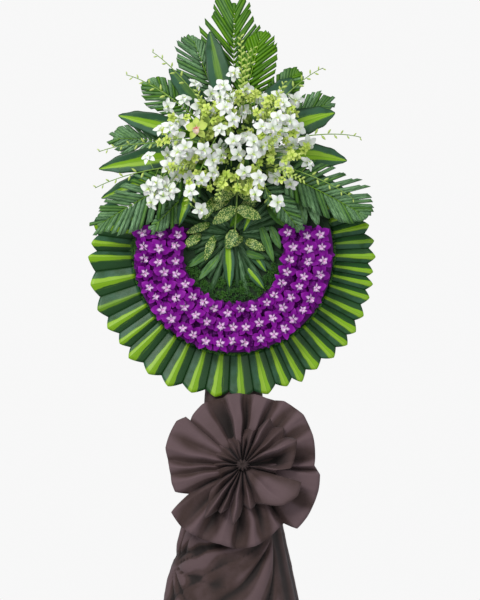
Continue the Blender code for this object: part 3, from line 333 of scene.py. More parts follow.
class WreathClothSettings(bpy.types.PropertyGroup):
    """Sizes of the cloth."""

    thickness: length("Cloth thickness", "Thickness of the skirt and the bow", 0.0007, 0.0002, 0.003)
    fold_depth: length("Fold depth", "Depth of the skirt's folds", 0.0095, 0.0, 0.03)


class WreathColourSettings(bpy.types.PropertyGroup):
    """Colours of every finish."""

    leaf_dark: colour("Leaf", "Dark flank of a striped leaf", (0.014, 0.070, 0.014))
    # Painted sheen: the bluish highlight painted on the lit flank of a striped leaf
    painted_flank_sheen: colour("Painted leaf sheen", "Bluish flank of a striped leaf", (0.038, 0.118, 0.062))
    stripe: colour("Leaf stripe", "Stripe of a striped leaf", (0.215, 0.430, 0.004))
    stripe_pale: colour("Pale stripe", "Pale lines in the stripe", (0.380, 0.590, 0.060))
    # Painted shade: near-black green painted into the valleys where two striped leaves lap, and over the
    # darkest palm strips
    valley: colour("Painted valley shade", "Where two striped leaves lap", (0.006, 0.036, 0.004))
    palm_dark: colour("Dark palm", "Shaded palm leaflet", (0.024, 0.085, 0.028))
    palm_light: colour("Light palm", "Sunlit palm leaflet", (0.080, 0.222, 0.001))
    # Painted highlight: pale grey-green patches painted on the darker leaflets
    painted_palm_highlight: colour("Painted palm highlight", "Painted grey highlight on a shaded leaflet", (0.275, 0.480, 0.255))
    moss: colour("Moss", "Moss round the orchids", (0.055, 0.185, 0.010))
    stem: colour("Stem", "Stems and buds", (0.330, 0.480, 0.110))
    purple: colour("Purple petal", "Purple petal", (0.222, 0.001, 0.288))
    purple_deep: colour("Deep purple", "Shaded edge of a purple petal", (0.085, 0.001, 0.125))
    purple_pale: colour("Violet edge", "Pale violet tip of a purple petal", (0.390, 0.035, 0.480))
    lip: colour("Lip", "Lip and heart of a purple orchid", (0.900, 0.640, 0.900))
    white: colour("White petal", "White petal", (0.860, 0.880, 0.860))
    throat: colour("Throat", "Throat of a white orchid", (0.560, 0.700, 0.190))
    green_petal: colour("Green petal", "Yellow-green orchid", (0.520, 0.640, 0.140))
    speckle: colour("Speckle", "Speckles on the spotted leaves", (0.470, 0.560, 0.160))
    cloth: colour("Cloth", "Brown cloth", (0.043, 0.021, 0.017))
    cloth_pale: colour("Cloth highlight", "Brown cloth where light passes", (0.128, 0.080, 0.088))
    timber: colour("Timber", "Softwood of the stand", (0.420, 0.280, 0.160))
    foam: colour("Foam", "Green foam of the base and block", (0.055, 0.150, 0.050))


class WreathStageSettings(bpy.types.PropertyGroup):
    """The camera, lights and floor."""

    distance: length("Camera distance", "From the camera to the head", 4.53, 1.0, 20.0)
    lens: bpy.props.FloatProperty(
        name="Lens", description="Focal length in millimetres", default=90.0, min=20.0
    )
    key_power: power("Key light", "Power of the soft key", 84.0)
    fill_power: power("Fill light", "Power of the fill", 20.0)
    floor: colour("Floor", "Colour of the floor", (0.95, 0.95, 0.95))
    sky: colour("Backdrop", "Colour behind the wreath", (0.935, 0.935, 0.935))


# Curves and frames along them


def bezier(points, share):
    """A point on the curve through the first and last points, pulled towards those between."""
    layer = list(points)
    while len(layer) > 1:
        layer = [a.lerp(b, share) for a, b in zip(layer, layer[1:])]
    return layer[0]


def on_curve(curve, share):
    """A point on the curve, and the direction there."""
    before, after = bezier(curve, max(share - 0.01, 0.0)), bezier(curve, min(share + 0.01, 1.0))
    return bezier(curve, share), (after - before).normalized()


def arched(start, end, bend):
    """A curve from one point to another, pulled off the straight line half way."""
    return start, start.lerp(end, 0.5) + Vector(bend), end


def frame_along(direction, up_hint):
    """Side and up vectors square to a direction."""
    side = direction.cross(up_hint)
    if side.length < 1e-6:
        side = direction.cross(Vector((1.0, 0.0, 0.0)))
    side.normalize()
    return side, side.cross(direction).normalized()


def between(table, value):
    """The value of a table of (place, number, ...) rows at a place, eased from row to row."""
    for (start, first), (end, second) in zip(table, table[1:]):
        if value <= end:
            share = (value - start) / (end - start)
            return first + (second - first) * share * share * (3 - 2 * share)
    return table[-1][1]


def head_point(radius, angle, y):
    """A point at that radius and angle in degrees, from +X towards +Z, round the middle of the head."""
    turn = math.radians(angle)
    return Vector((radius * math.cos(turn), y, HEAD_Z + radius * math.sin(turn)))


def unrest(point, scale, seed=0.0):
    """A smooth random number from -1 to 1 for a place."""
    return noise.noise(Vector((point.x / scale + seed, point.y / scale, point.z / scale - seed)))


# Mesh building


def new_mesh():
    """An empty mesh with a UV map and a shade for each corner."""
    bm = bmesh.new()
    bm.loops.layers.uv.new("UVMap")
    bm.verts.layers.float.new("tone")
    return bm


def faces_round(verts):
    return {face for vert in verts for face in vert.link_faces}


def dress_faces(faces, finish):
    for face in faces:
        face.material_index = finish
        face.smooth = True


def shaped_grid(bm, columns, rows, place, finish=0, tone=0.5):
    """A sheet of faces with each corner (u, v) put at place(u, v): u runs -1 to 1 across, v 0 to 1 along."""
    shade = bm.verts.layers.float["tone"]
    made = bmesh.ops.create_grid(bm, x_segments=columns, y_segments=rows, size=1.0, calc_uvs=True)
    for vert in made["verts"]:
        u, v = vert.co.x, (vert.co.y + 1) / 2
        vert[shade] = tone
        vert.co = place(u, v)
    dress_faces(faces_round(made["verts"]), finish)
    return made["verts"]


def ring_frame(point, along, side, radius):
    """Puts a flat circle of radius 1 round a point of a stem, square to it."""
    up = side.cross(along)
    turned = Matrix((side, up, -along)).transposed().to_4x4()
    return Matrix.Translation(point) @ turned @ Matrix.Diagonal((radius, radius, radius, 1.0))


def tube(bm, points, radii, sides=6, finish=0, tone=0.5):
    """A round stem: a circle extruded from point to point with as little twist as possible, and closed."""
    shade = bm.verts.layers.float["tone"]
    side = None
    frames = []
    for index, point in enumerate(points):
        along = (points[min(index + 1, len(points) - 1)] - points[max(index - 1, 0)]).normalized()
        if side is None:
            side, _ = frame_along(along, Vector((0.2, 1.0, 0.5)))
        side = (side - side.dot(along) * along).normalized()
        frames.append(ring_frame(point, along, side, max(radii[index], 1e-5)))
    start = bmesh.ops.create_circle(bm, cap_ends=True, segments=sides, radius=1.0, matrix=frames[0])
    verts = start["verts"]
    faces = set(verts[0].link_faces)
    edges = list({edge for vert in verts for edge in vert.link_edges})
    for vert in verts:
        vert[shade] = tone
    for before, after in zip(frames, frames[1:]):
        made = bmesh.ops.extrude_edge_only(bm, edges=edges)["geom"]
        verts = [item for item in made if isinstance(item, bmesh.types.BMVert)]
        edges = [item for item in made if isinstance(item, bmesh.types.BMEdge)]
        faces.update(item for item in made if isinstance(item, bmesh.types.BMFace))
        bmesh.ops.transform(bm, matrix=after @ before.inverted(), verts=verts)
        for vert in verts:
            vert[shade] = tone
    faces.update(bmesh.ops.edgeloop_fill(bm, edges=edges)["faces"])
    bmesh.ops.recalc_face_normals(bm, faces=list(faces))
    dress_faces(faces, finish)


def stem(bm, curve, steps, radius, thinning, sides, finish, tone, inner=None):
    """A stem along a curve, thinner by its end, that starts at a point inside the block if one is given."""
    shares = [k / steps for k in range(steps + 1)]
    points = [bezier(curve, share) for share in shares]
    radii = [radius - thinning * share for share in shares]
    if inner:
        points.insert(0, inner)
        radii.insert(0, radius)
    tube(bm, points, radii, sides, finish, tone)


def link_object(name, data):
    """A new object in the scene made of that mesh, light or camera."""
    made = bpy.data.objects.new(name, data)
    bpy.context.scene.collection.objects.link(made)
    return made


def make_piece(name, bm, finish_names, replaces=(), thickness=0.0):
    """Makes the mesh an object that rides on the frame, in place of the solids it replaces."""
    mesh = bpy.data.meshes.new(name)
    bm.to_mesh(mesh)
    bm.free()
    for finish in finish_names:
        mesh.materials.append(finishes()[finish])
    piece = link_object(name, mesh)
    if thickness:
        wall = piece.modifiers.new("Thickness", "SOLIDIFY")
        wall.thickness = thickness
        wall.offset = -1.0
    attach(piece, "root")
    if replaces:
        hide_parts(*replaces)
    return piece


# Finishes


class Wire:
    """A number or a colour inside a finish. Sums with it make the nodes that work them out."""

    def __init__(self, finish, socket):
        self.finish = finish
        self.socket = socket

    def __add__(self, other):
        return self.finish.sum("ADD", self, other)

    def __sub__(self, other):
        return self.finish.sum("SUBTRACT", self, other)

    def __mul__(self, other):
        return self.finish.sum("MULTIPLY", self, other)

    def __abs__(self):
        return self.finish.sum("ABSOLUTE", self)

    def ease(self, low, high):
        """0 below low and 1 above high, or the other way round if low is the greater, eased between them."""
        inputs = [("Value", self), ("From Min", low), ("From Max", high)]
        return self.finish.add("MapRange", inputs, "Result", interpolation_type="SMOOTHSTEP")


class Finish:
    """A procedural material: its shader and the nodes that feed it."""

    def __init__(self, name, **constants):
        self.material = bpy.data.materials.new(name)
        self.material.use_nodes = True
        self.tree = self.material.node_tree
        self.shader = self.tree.nodes["Principled BSDF"]
        for socket, value in constants.items():
            self.shader.inputs[socket.replace("_", " ")].default_value = value

    def node(self, kind, inputs=(), **settings):
        """A node with its settings, its inputs given as (socket, value or wire) pairs."""
        node = self.tree.nodes.new("ShaderNode" + kind)
        for key, value in settings.items():
            setattr(node, key, value)
        for socket, value in inputs:
            if isinstance(value, Wire):
                self.tree.links.new(value.socket, node.inputs[socket])
            else:
                node.inputs[socket].default_value = value
        return node

    def add(self, kind, inputs, output, **settings):
        return Wire(self, self.node(kind, inputs, **settings).outputs[output])

    def uv(self):
        return self.add("UVMap", (), "UV", uv_map="UVMap")

    def place(self):
        return self.add("TexCoord", (), "Object")

    def tone(self):
        return self.add("Attribute", (), "Fac", attribute_name="tone")

    def split(self, vector):
        parts = self.node("SeparateXYZ", [(0, vector)]).outputs
        return Wire(self, parts[0]), Wire(self, parts[1])

    def scaled(self, vector, scale):
        return self.add("Mapping", [("Vector", vector), ("Scale", scale)], 0)

    def grain(self, vector, scale, detail=2.0, roughness=0.5):
        inputs = [("Vector", vector), ("Scale", scale), ("Detail", detail), ("Roughness", roughness)]
        return self.add("TexNoise", inputs, "Fac")

    def cells(self, vector, scale, randomness=1.0):
        inputs = [("Vector", vector), ("Scale", scale), ("Randomness", randomness)]
        return self.add("TexVoronoi", inputs, "Distance")

    def sum(self, operation, first, second=0.0):
        return self.add("Math", [(0, first), (1, second)], 0, operation=operation)

    def mix(self, share, first, second):
        first, second = (part if isinstance(part, Wire) else (*part, 1.0) for part in (first, second))
        return self.add("Mix", [("Factor", share), (6, first), (7, second)], 2, data_type="RGBA")

    def coated(self, base, *coats):
        """The base colour under (share, colour) coats, one over the other."""
        for share, colour_over in coats:
            base = self.mix(share, base, colour_over)
        return base

    def paint(self, colour_wire):
        self.tree.links.new(colour_wire.socket, self.shader.inputs["Base Color"])

    def shine(self, roughness):
        self.tree.links.new(roughness.socket, self.shader.inputs["Roughness"])

    def relief(self, height, strength, distance):
        inputs = [("Height", height), ("Strength", strength), ("Distance", distance)]
        bump = self.add("Bump", inputs, "Normal")
        self.tree.links.new(bump.socket, self.shader.inputs["Normal"])


def shaded(colour_value, share):
    return tuple(share * part for part in colour_value)


def striped_leaf_finish(name, colours, widest, taper, bloom=0.0):
    """One dark flank and one with a painted bluish sheen, painted shade where two leaves lap, a yellow-green
    stripe in two tones along the rib, and fine veins.
    """
    finish = Finish(name, Specular_IOR_Level=0.35)
    uv, tone = finish.uv(), finish.tone()
    across, along = finish.split(uv)
    side = (across - 0.5) * 2.0
    off = abs(side)
    veins = finish.grain(finish.scaled(uv, (95.0, 1.2, 1.0)), 1.0)
    fray = finish.grain(finish.scaled(uv, (13.0, 2.2, 1.0)), 1.0, 3.0, 0.6)
    drift = finish.grain(finish.place(), 30.0)
    edge = off + (fray - 0.5) * (0.30 + 0.45 * bloom)
    inside = (along * (widest - taper) + taper) * (tone * 0.55 + 0.72) - edge
    stripe = inside.ease(-0.06 * bloom, 0.03 + 0.10 * bloom)
    streak = (inside + veins.ease(0.50, 0.62) * 0.16).ease(0.0, 0.02)
    clear = tone.ease(0.18 * bloom - 0.25, 0.18 * bloom + 0.35)
    # Painted sheen: one flank, and patches on the broad leaves, take the bluish highlight colour
    lit = finish.sum("MINIMUM", side.ease(0.30, -0.45) * drift.ease(0.25, 0.70) + drift * bloom, 1.0)
    flank = finish.coated(
        finish.mix(lit, colours.leaf_dark, colours.painted_flank_sheen),
        (veins.ease(0.40, 0.75) * 0.35, colours.palm_dark),
        # Painted shade in the valleys, towards the edges where two leaves lap
        (off.ease(0.74, 1.05), colours.valley),
        (streak * clear * (0.45 + 0.4 * bloom), colours.stripe),
    )
    half = side.ease(0.02, -0.02) * inside.ease(0.02, 0.10)
    lines = finish.sum("MAXIMUM", half * 0.45, veins.ease(0.58, 0.76))
    rib = off.ease(0.030, 0.012)
    band = finish.coated(
        finish.mix(lines, colours.stripe, colours.stripe_pale),
        (rib * 0.60, colours.palm_light),
    )
    finish.paint(finish.mix(stripe * clear, flank, band))
    finish.relief(veins + rib * 0.6, 0.35, 0.0008)
    finish.shine(veins * 0.16 + 0.34)


def palm_finish(colours):
    """Palm leaflets from bluish to yellow-green, with a pale rib, fine veins along, painted highlights on the
    darker leaflets and painted shade on the darkest.
    """
    finish = Finish("palm_leaf_finish", Roughness=0.46, Specular_IOR_Level=0.20)
    uv, tone = finish.uv(), finish.tone()
    across, _ = finish.split(uv)
    veins = finish.grain(finish.scaled(uv, (26.0, 1.2, 1.0)), 1.0)
    rib = abs(across - 0.5).ease(0.09, 0.02)
    blotch = finish.grain(finish.place(), 22.0)
    base = finish.coated(
        finish.mix(tone, colours.palm_dark, colours.palm_light),
        # Painted highlight in patches on the darker leaflets
        (tone.ease(0.62, 0.15) * finish.grain(uv, 7.0).ease(0.24, 0.68) * 0.85, colours.painted_palm_highlight),
        (veins.ease(0.50, 0.8) * 0.35, colours.palm_dark),
        (rib * (tone.ease(-0.05, 0.50) * 0.5), colours.stripe),
        (blotch.ease(0.62, 0.40) * 0.35, colours.leaf_dark),
        # Painted shade over leaflets whose tone is at or below zero
        (tone.ease(0.10, -0.10) * 0.75, colours.valley),
    )
    finish.paint(base)
    finish.relief(veins + rib, 0.30, 0.0006)


def speckled_finish(colours):
    """A green leaf covered with pale yellow spots of uneven size."""
    finish = Finish("speckled_leaf_finish", Roughness=0.38)
    uv, place = finish.uv(), finish.place()
    across, _ = finish.split(uv)
    spots = (finish.cells(place, 260.0) - finish.grain(place, 90.0, 3.0) * 0.75).ease(0.16, -0.02)
    green = finish.mix(finish.grain(place, 60.0), colours.palm_dark, colours.palm_light)
    finish.paint(finish.mix(spots, green, colours.speckle))
    veins = finish.add("TexWave", [("Vector", uv), ("Scale", 9.0), ("Distortion", 1.5)], "Fac")
    finish.relief(veins + abs(across - 0.5).ease(0.05, 0.0), 0.25, 0.0006)


def plant_finish(name, base, shade, scale, roughness=0.55):
    """Stems, buds and moss: one green that drifts towards a second, with a fine uneven surface."""
    finish = Finish(name, Roughness=roughness)
    place = finish.place()
    drift = finish.grain(place, scale, 3.0).ease(0.30, 0.70)
    finish.paint(finish.mix((drift + finish.tone()) * 0.5, shade, base))
    finish.relief(finish.grain(place, 9.0 * scale), 0.25, 0.0004)


def petal_finish(name, body, edge, tip, heart, heart_reach, vein_strength, glow):
    """A petal: a heart colour that runs out along the middle, shaded sides, a paler tip and fine veins."""
    finish = Finish(
        name,
        Roughness=0.58,
        Specular_IOR_Level=0.15,
        Subsurface_Weight=glow,
        Subsurface_Radius=(0.8, 0.6, 0.8),
        Subsurface_Scale=0.004,
    )
    uv, tone = finish.uv(), finish.tone()
    across, along = finish.split(uv)
    off = abs(across - 0.5) * 2.0
    veins = finish.grain(finish.scaled(uv, (22.0, 1.4, 1.0)), 1.0)
    reach = along + off * 0.55 + (veins - 0.5) * 0.30
    petal = finish.coated(
        finish.mix(along.ease(0.62, 1.0) * 0.55, body, tip),
        (veins.ease(0.45, 0.85) * vein_strength, edge),
        ((along + off * -0.20).ease(0.34, 0.05) * 0.70, edge),
        (tone.ease(0.60, 0.0) * 0.65, edge),
        (reach.ease(heart_reach, 0.55 * heart_reach) * (tone * 0.45 + 0.55), heart),
    )
    finish.paint(petal)
    finish.relief(veins, 0.25, 0.0005)


def lip_finish(name, body, heart, edge):
    """The lip of an orchid: pale, with a coloured throat and a tinted frill."""
    finish = Finish(name, Roughness=0.50, Subsurface_Weight=0.15, Subsurface_Scale=0.003)
    uv = finish.uv()
    _, along = finish.split(uv)
    veins = finish.grain(finish.scaled(uv, (18.0, 1.5, 1.0)), 1.0)
    base = finish.mix((along + veins * 0.25).ease(0.25, 0.55), heart, body)
    finish.paint(finish.mix(along.ease(0.86, 1.02), base, edge))
    finish.relief(veins, 0.3, 0.0005)


def cloth_finish(colours):
    """Thin brown fleece: pressed dimples, cloudy density and a dull sheen, with shade painted into the
    creases and highlight painted on ridges and thin rims, by tone.
    """
    finish = Finish(
        "brown_cloth_finish",
        Roughness=0.82,
        Sheen_Weight=0.08,
        Sheen_Roughness=0.45,
        Sheen_Tint=(0.62, 0.55, 0.64, 1.0),
    )
    place, tone = finish.place(), finish.tone()
    fibre = finish.grain(finish.scaled(place, (1.0, 1.0, 0.45)), 900.0)
    dimples = finish.cells(place, 620.0, 0.35)
    cloud = finish.grain(place, 16.0, 4.0, 0.55)
    base = finish.coated(
        finish.mix(cloud.ease(0.36, 0.70) * 0.28, colours.cloth, colours.cloth_pale),
        (fibre.ease(0.45, 0.75) * 0.22, colours.cloth_pale),
        (dimples.ease(0.35, 0.05) * 0.35, (0.030, 0.020, 0.018)),
        # Painted shade: low tone darkens the creases and the middle of the bow
        (tone.ease(0.50, 0.0), shaded(colours.cloth, 0.20)),
        # Painted highlight: high tone pales the ridges and the thin rims where light passes
        (tone.ease(0.58, 0.96) * 0.90, colours.cloth_pale),
    )
    finish.paint(base)
    finish.relief(fibre * 0.5 + dimples, 0.45, 0.0006)


def timber_finish(colours):
    """Planed softwood: rings stretched along the length, with darker late wood."""
    finish = Finish("timber_finish", Roughness=0.62)
    place = finish.place()
    rings = finish.grain(finish.scaled(place, (60.0, 60.0, 3.0)), 1.0, 4.0, 0.6)
    pores = finish.grain(finish.scaled(place, (420.0, 420.0, 16.0)), 1.0)
    wood = finish.mix(rings.ease(0.35, 0.68), colours.timber, (0.24, 0.13, 0.06))
    finish.paint(finish.mix(pores.ease(0.5, 0.8) * 0.3, wood, (0.14, 0.08, 0.04)))
    finish.relief(rings + pores, 0.30, 0.0008)


def foam_finish(name, base, scale):
    """Florist's foam: small cells, with crumbs and scuffs."""
    finish = Finish(name, Roughness=0.95)
    place = finish.place()
    cells = finish.cells(place, scale)
    dark = shaded(base, 0.45)
    tint = finish.mix(finish.grain(place, 14.0, 4.0).ease(0.35, 0.70), base, dark)
    finish.paint(finish.mix(cells.ease(0.5, 0.1) * 0.5, tint, dark))
    finish.relief(cells, 0.6, 0.0015)


def board_finish():
    """Painted hardboard: a green coat with brush marks and worn spots."""
    finish = Finish("green_board_finish", Roughness=0.70)
    place = finish.place()
    brush = finish.grain(finish.scaled(place, (4.0, 4.0, 130.0)), 1.0, 3.0)
    worn = finish.grain(place, 26.0, 5.0, 0.65)
    coat = finish.mix(brush, (0.018, 0.070, 0.022), (0.035, 0.110, 0.036))
    finish.paint(finish.mix(worn.ease(0.66, 0.76), coat, (0.110, 0.085, 0.050)))
    finish.relief(brush + worn, 0.25, 0.0007)


def floor_finish(colour_value):
    """A pale matt floor with a faint mottle, which fades into the backdrop away from the wreath."""
    finish = Finish("floor_finish", Roughness=0.80)
    place = finish.place()
    lighter = tuple(min(1.0, part) for part in shaded(colour_value, 1.02))
    finish.paint(finish.mix(finish.grain(place, 5.0, 4.0), colour_value, lighter))
    far = finish.add("VectorMath", [(0, place)], "Value", operation="LENGTH")
    clear = finish.add("BsdfTransparent", (), 0)
    matt = Wire(finish, finish.shader.outputs[0])
    fade = finish.add("MixShader", [(0, far.ease(0.34, 0.60)), (1, matt), (2, clear)], 0)
    finish.tree.links.new(fade.socket, finish.tree.nodes["Material Output"].inputs["Surface"])
    return finish.material


def finishes():
    """Every finish by name, made once from the colour settings."""
    colours = bpy.context.scene.wreath_colours
    if "palm_leaf_finish" in bpy.data.materials:
        return bpy.data.materials
    striped_leaf_finish("ruff_leaf_finish", colours, 0.38, 0.20)
    striped_leaf_finish("broad_leaf_finish", colours, 0.24, 0.40, 0.9)
    palm_finish(colours)
    speckled_finish(colours)
    plant_finish("moss_finish", colours.moss, colours.leaf_dark, 60.0, 0.7)
    plant_finish("stem_finish", colours.stem, colours.palm_light, 80.0)
    plant_finish("rib_finish", colours.stripe, colours.palm_light, 60.0)
    plant_finish("bud_finish", colours.green_petal, colours.stem, 120.0)
    purple, deep, white = colours.purple, colours.purple_deep, colours.white
    pale_green, olive = (0.68, 0.78, 0.58), (0.36, 0.52, 0.08)
    petal_finish("purple_petal_finish", purple, deep, colours.purple_pale, colours.lip, 0.51, 0.40, 0.10)
    petal_finish("purple_shade_finish", shaded(purple, 0.62), deep, purple, deep, 0.20, 0.35, 0.05)
    petal_finish("white_petal_finish", white, pale_green, white, colours.throat, 0.22, 0.15, 0.22)
    green, flush = colours.green_petal, (0.72, 0.42, 0.34)
    petal_finish("green_petal_finish", green, olive, olive, flush, 0.34, 0.30, 0.15)
    floret = ((0.66, 0.78, 0.18), (0.34, 0.50, 0.05), (0.80, 0.88, 0.42))
    petal_finish("floret_finish", *floret, olive, 0.20, 0.40, 0.10)
    lip_finish("purple_lip_finish", colours.lip, (0.62, 0.22, 0.60), (0.50, 0.06, 0.58))
    lip_finish("white_lip_finish", white, colours.throat, (0.80, 0.86, 0.70))
    lip_finish("green_lip_finish", (0.80, 0.62, 0.50), (0.60, 0.18, 0.16), (0.74, 0.70, 0.40))
    cloth_finish(colours)
    timber_finish(colours)
    # The disc's foam is darkened further than the block's: painted shade where it shows between the leaves
    foam_finish("dry_foam_finish", shaded(colours.foam, 0.32), 420.0)
    foam_finish("wet_foam_finish", shaded(colours.foam, 0.5), 700.0)
    board_finish()
    return bpy.data.materials


def dress_node(name, finish):
    """Gives a solid that stays as it is its finish."""
    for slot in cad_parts[name].material_slots:
        slot.material = finishes()[finish]


# Orchids


# Petals of an orchid, two broad and three narrow: angle, half width and reach, as shares of the radius
PURPLE_PETALS = ((90, 0.30, 1.04), (230, 0.31, 1.02), (310, 0.31, 1.02), (20, 0.44, 1.02), (160, 0.44, 1.02))
WHITE_PETALS = ((90, 0.31, 1.02), (232, 0.30, 1.0), (308, 0.30, 1.0), (20, 0.40, 1.0), (160, 0.40, 1.0))
NARROW_BELOW = 0.35
BUD_SHAPE = ((0.0, 0.25), (0.15, 0.75), (0.40, 1.0), (0.70, 0.80), (0.90, 0.42), (1.0, 0.10))


def petal_width(share, narrow):
    """Half width of a petal at a share of its length, as a share of the widest."""
    if narrow:
        return math.sin(math.pi * (0.12 + 0.85 * share)) ** 0.85
    return math.sin(math.pi * (0.06 + 0.92 * share**0.90)) ** 0.82


def orchid(
    bm, centre, facing, roll, radius, tone, openness, turns=WHITE_PETALS, petals=0, lip=1, columns=4, rows=5
):
    """One orchid: three narrow sepals, two broad petals, a folded lip and the column, facing that way."""
    side, up = frame_along(facing, Vector((0.0, 0.0, 1.0)))
    stand = Matrix((-side, up, facing)).transposed().to_4x4()
    size = Matrix.Diagonal((radius, radius, radius, 1.0))
    stand = Matrix.Translation(centre) @ stand @ Matrix.Rotation(roll, 4, "Z") @ size
    for index, (angle, half_width, reach) in enumerate(turns):
        turn = math.radians(angle)
        out = Vector((math.cos(turn), math.sin(turn), 0.0))
        across = Vector((math.sin(turn), -math.cos(turn), 0.0))
        narrow = half_width < NARROW_BELOW
        layer = 0.0 if narrow else 0.05
        curl = 0.16 * math.sin(2.1 * index + 5.0 * roll)

        def place(u, v):
            width = half_width * petal_width(v, narrow)
            rise = layer - 0.10 + (0.42 - openness) * v + (openness - 0.72) * 0.7 * v * v
            rise += 0.20 * width * u * u + curl * u * v * width
            ripple = 0.020 * math.sin(7.0 * v + 3.0 * u + index) * abs(u)
            spot = out * (0.10 + (reach - 0.10) * v) + across * (u * width)
            return stand @ (spot + Vector((0.0, 0.0, rise + ripple)))

        shaped_grid(bm, columns, rows, place, petals, tone)

    swell = 0.72 if turns is PURPLE_PETALS else 1.0

    def lip_place(u, v):
        width = swell * (0.14 + 0.15 * math.sin(math.pi * min(v, 1.0) ** 1.2) - 0.10 * v**6)
        rise = 0.10 + 0.34 * v - 0.46 * v**3 + 0.42 * u * u * (1 - v) ** 0.6 * min(1.0, v * 3)
        frill = 0.03 * math.sin(9.0 * u) * v
        return stand @ Vector((u * width, 0.06 - 0.60 * swell * v, rise + frill))

    shaped_grid(bm, columns, rows, lip_place, lip, tone)
    column = stand @ Matrix.Translation((0.0, 0.03, 0.14)) @ Matrix.Diagonal((0.08, 0.12, 0.10, 1.0))
    made = bmesh.ops.create_icosphere(bm, subdivisions=1, radius=1.0, matrix=column)
    for vert in made["verts"]:
        vert[bm.verts.layers.float["tone"]] = tone
    dress_faces(faces_round(made["verts"]), lip)


def bud(bm, base, along, size, radius, finish=0, tone=0.5):
    """A closed bud: a stem that swells and comes to a bent point."""
    _, up = frame_along(along, FRONT)
    points = [base + size * share * along + 0.12 * size * share * share * up for share, _ in BUD_SHAPE]
    tube(bm, points, [radius * swell for _, swell in BUD_SHAPE], 6, finish, tone)


# Stems out of the block


def block_exit(target, y):
    """Where the straight line from the block's middle to a place (x, z) leaves the block."""
    dx, dz = target[0], target[1] - BLOCK_Z
    scale = min(BLOCK_HALF_WIDTH / max(abs(dx), 1e-9), BLOCK_HALF_HEIGHT / max(abs(dz), 1e-9))
    return Vector((dx * scale, y, BLOCK_Z + dz * scale))


def inward(exit_point, target):
    """The end of the straight stretch of stem inside the block."""
    along = Vector((target[0] - exit_point.x, 0.0, target[1] - exit_point.z)).normalized()
    return exit_point - STEM_IN_BLOCK * along


# The ruff


def ruff_edges(name):
    """(angle, radius) of the valleys and ridges of one piece of the ruff, from valley to valley."""
    tips = [tip for piece in RUFF_TIPS.values() for tip in piece]
    before, after = tips[0], tips[-1]
    tips = [(2 * before[0] - tips[1][0], before[1])] + tips + [(2 * after[0] - tips[-2][0], after[1])]
    valleys = []
    for (start, first), (end, second) in zip(tips, tips[1:]):
        valleys.append(((start + end) / 2, min(first, second) - RUFF_NOTCH))
    first = tips.index(RUFF_TIPS[name][0])
    edges = [valleys[first - 1]]
    for index in range(first, first + len(RUFF_TIPS[name])):
        edges += [tips[index], valleys[index]]
    edges[0] = (edges[0][0] + 0.05, edges[0][1])
    edges[-1] = (edges[-1][0] - 0.05, edges[-1][1])
    return edges


def build_ruff():
    """Folded leaves side by side: a rounded ridge with the stripe, and a valley where two leaves lap."""
    leaf = bpy.context.scene.wreath_leaves
    shades = random.Random(RUFF_SEED)
    for name in RUFF_TIPS:
        edges = ruff_edges(name)
        bm = new_mesh()
        for (start, left), (middle, ridge), (end, right) in zip(edges[::2], edges[1::2], edges[2::2]):
            lean, sway = shades.uniform(-1.0, 1.0), shades.uniform(-0.5, 0.5)

            def place(u, v):
                lap = 1.0 + 0.10 * max(u, 0.0)
                half = end - middle if u > 0 else middle - start
                angle = middle + half * u * lap + sway * v * (1 - abs(u))
                valley = right if u > 0 else left
                reach = ridge + (valley - ridge) * abs(u) ** 1.3
                radius = RUFF_INNER + (reach - RUFF_INNER) * v
                fold = 1 - abs(u) if abs(u) > RIDGE_SHARE else 0.93 - 3.57 * u * u
                height = leaf.ruff_height * (0.75 + 0.35 * v) * fold - (0.0025 * max(u, 0.0) ** 3)
                height += 0.0035 * lean * u * v + 0.0015 * max(-u, 0.0) ** 4
                spot = head_point(radius, angle, 0.0)
                height += 0.0014 * unrest(spot, 0.03, 3.0) * v
                spot.y = -GAP - leaf.leaf_thickness - height - RUFF_CURL * v * v - 0.001
                return spot

            shaped_grid(bm, 14, 12, place, 0, shades.uniform(0.0, 1.0))
        make_piece(name + "_leaves", bm, ("ruff_leaf_finish",), [name], leaf.leaf_thickness)


# The horseshoe


def band_limits(radius):
    """The angles between which the horseshoe runs at that radius."""
    rise = math.degrees(math.asin(BAND_RISE / radius))
    return 180 - rise, 360 + rise


def band_blooms():
    """(angle, centre, facing, roll) of each purple orchid, in staggered rows with a little disorder."""
    rng = random.Random(BAND_SEED)
    found = []
    for row, radius in enumerate(BAND_ROWS):
        first, last = band_limits(radius)
        count = round(math.radians(last - first) * radius / BAND_PITCH)
        for index in range(count):
            angle = first + (last - first) * (index + 0.5) / count
            angle += math.degrees(rng.uniform(-0.003, 0.003) / radius)
            reach = radius + rng.uniform(-0.004, 0.004)
            centre = head_point(reach, angle, PURPLE_Y + rng.uniform(-0.004, 0.004) - 0.003 * (row % 2))
            facing = Vector((rng.uniform(-PURPLE_LEAN, PURPLE_LEAN), -1.0, rng.uniform(-0.15, 0.25)))
            found.append((angle, centre, facing.normalized(), rng.uniform(-0.5, 0.5)))
    return found


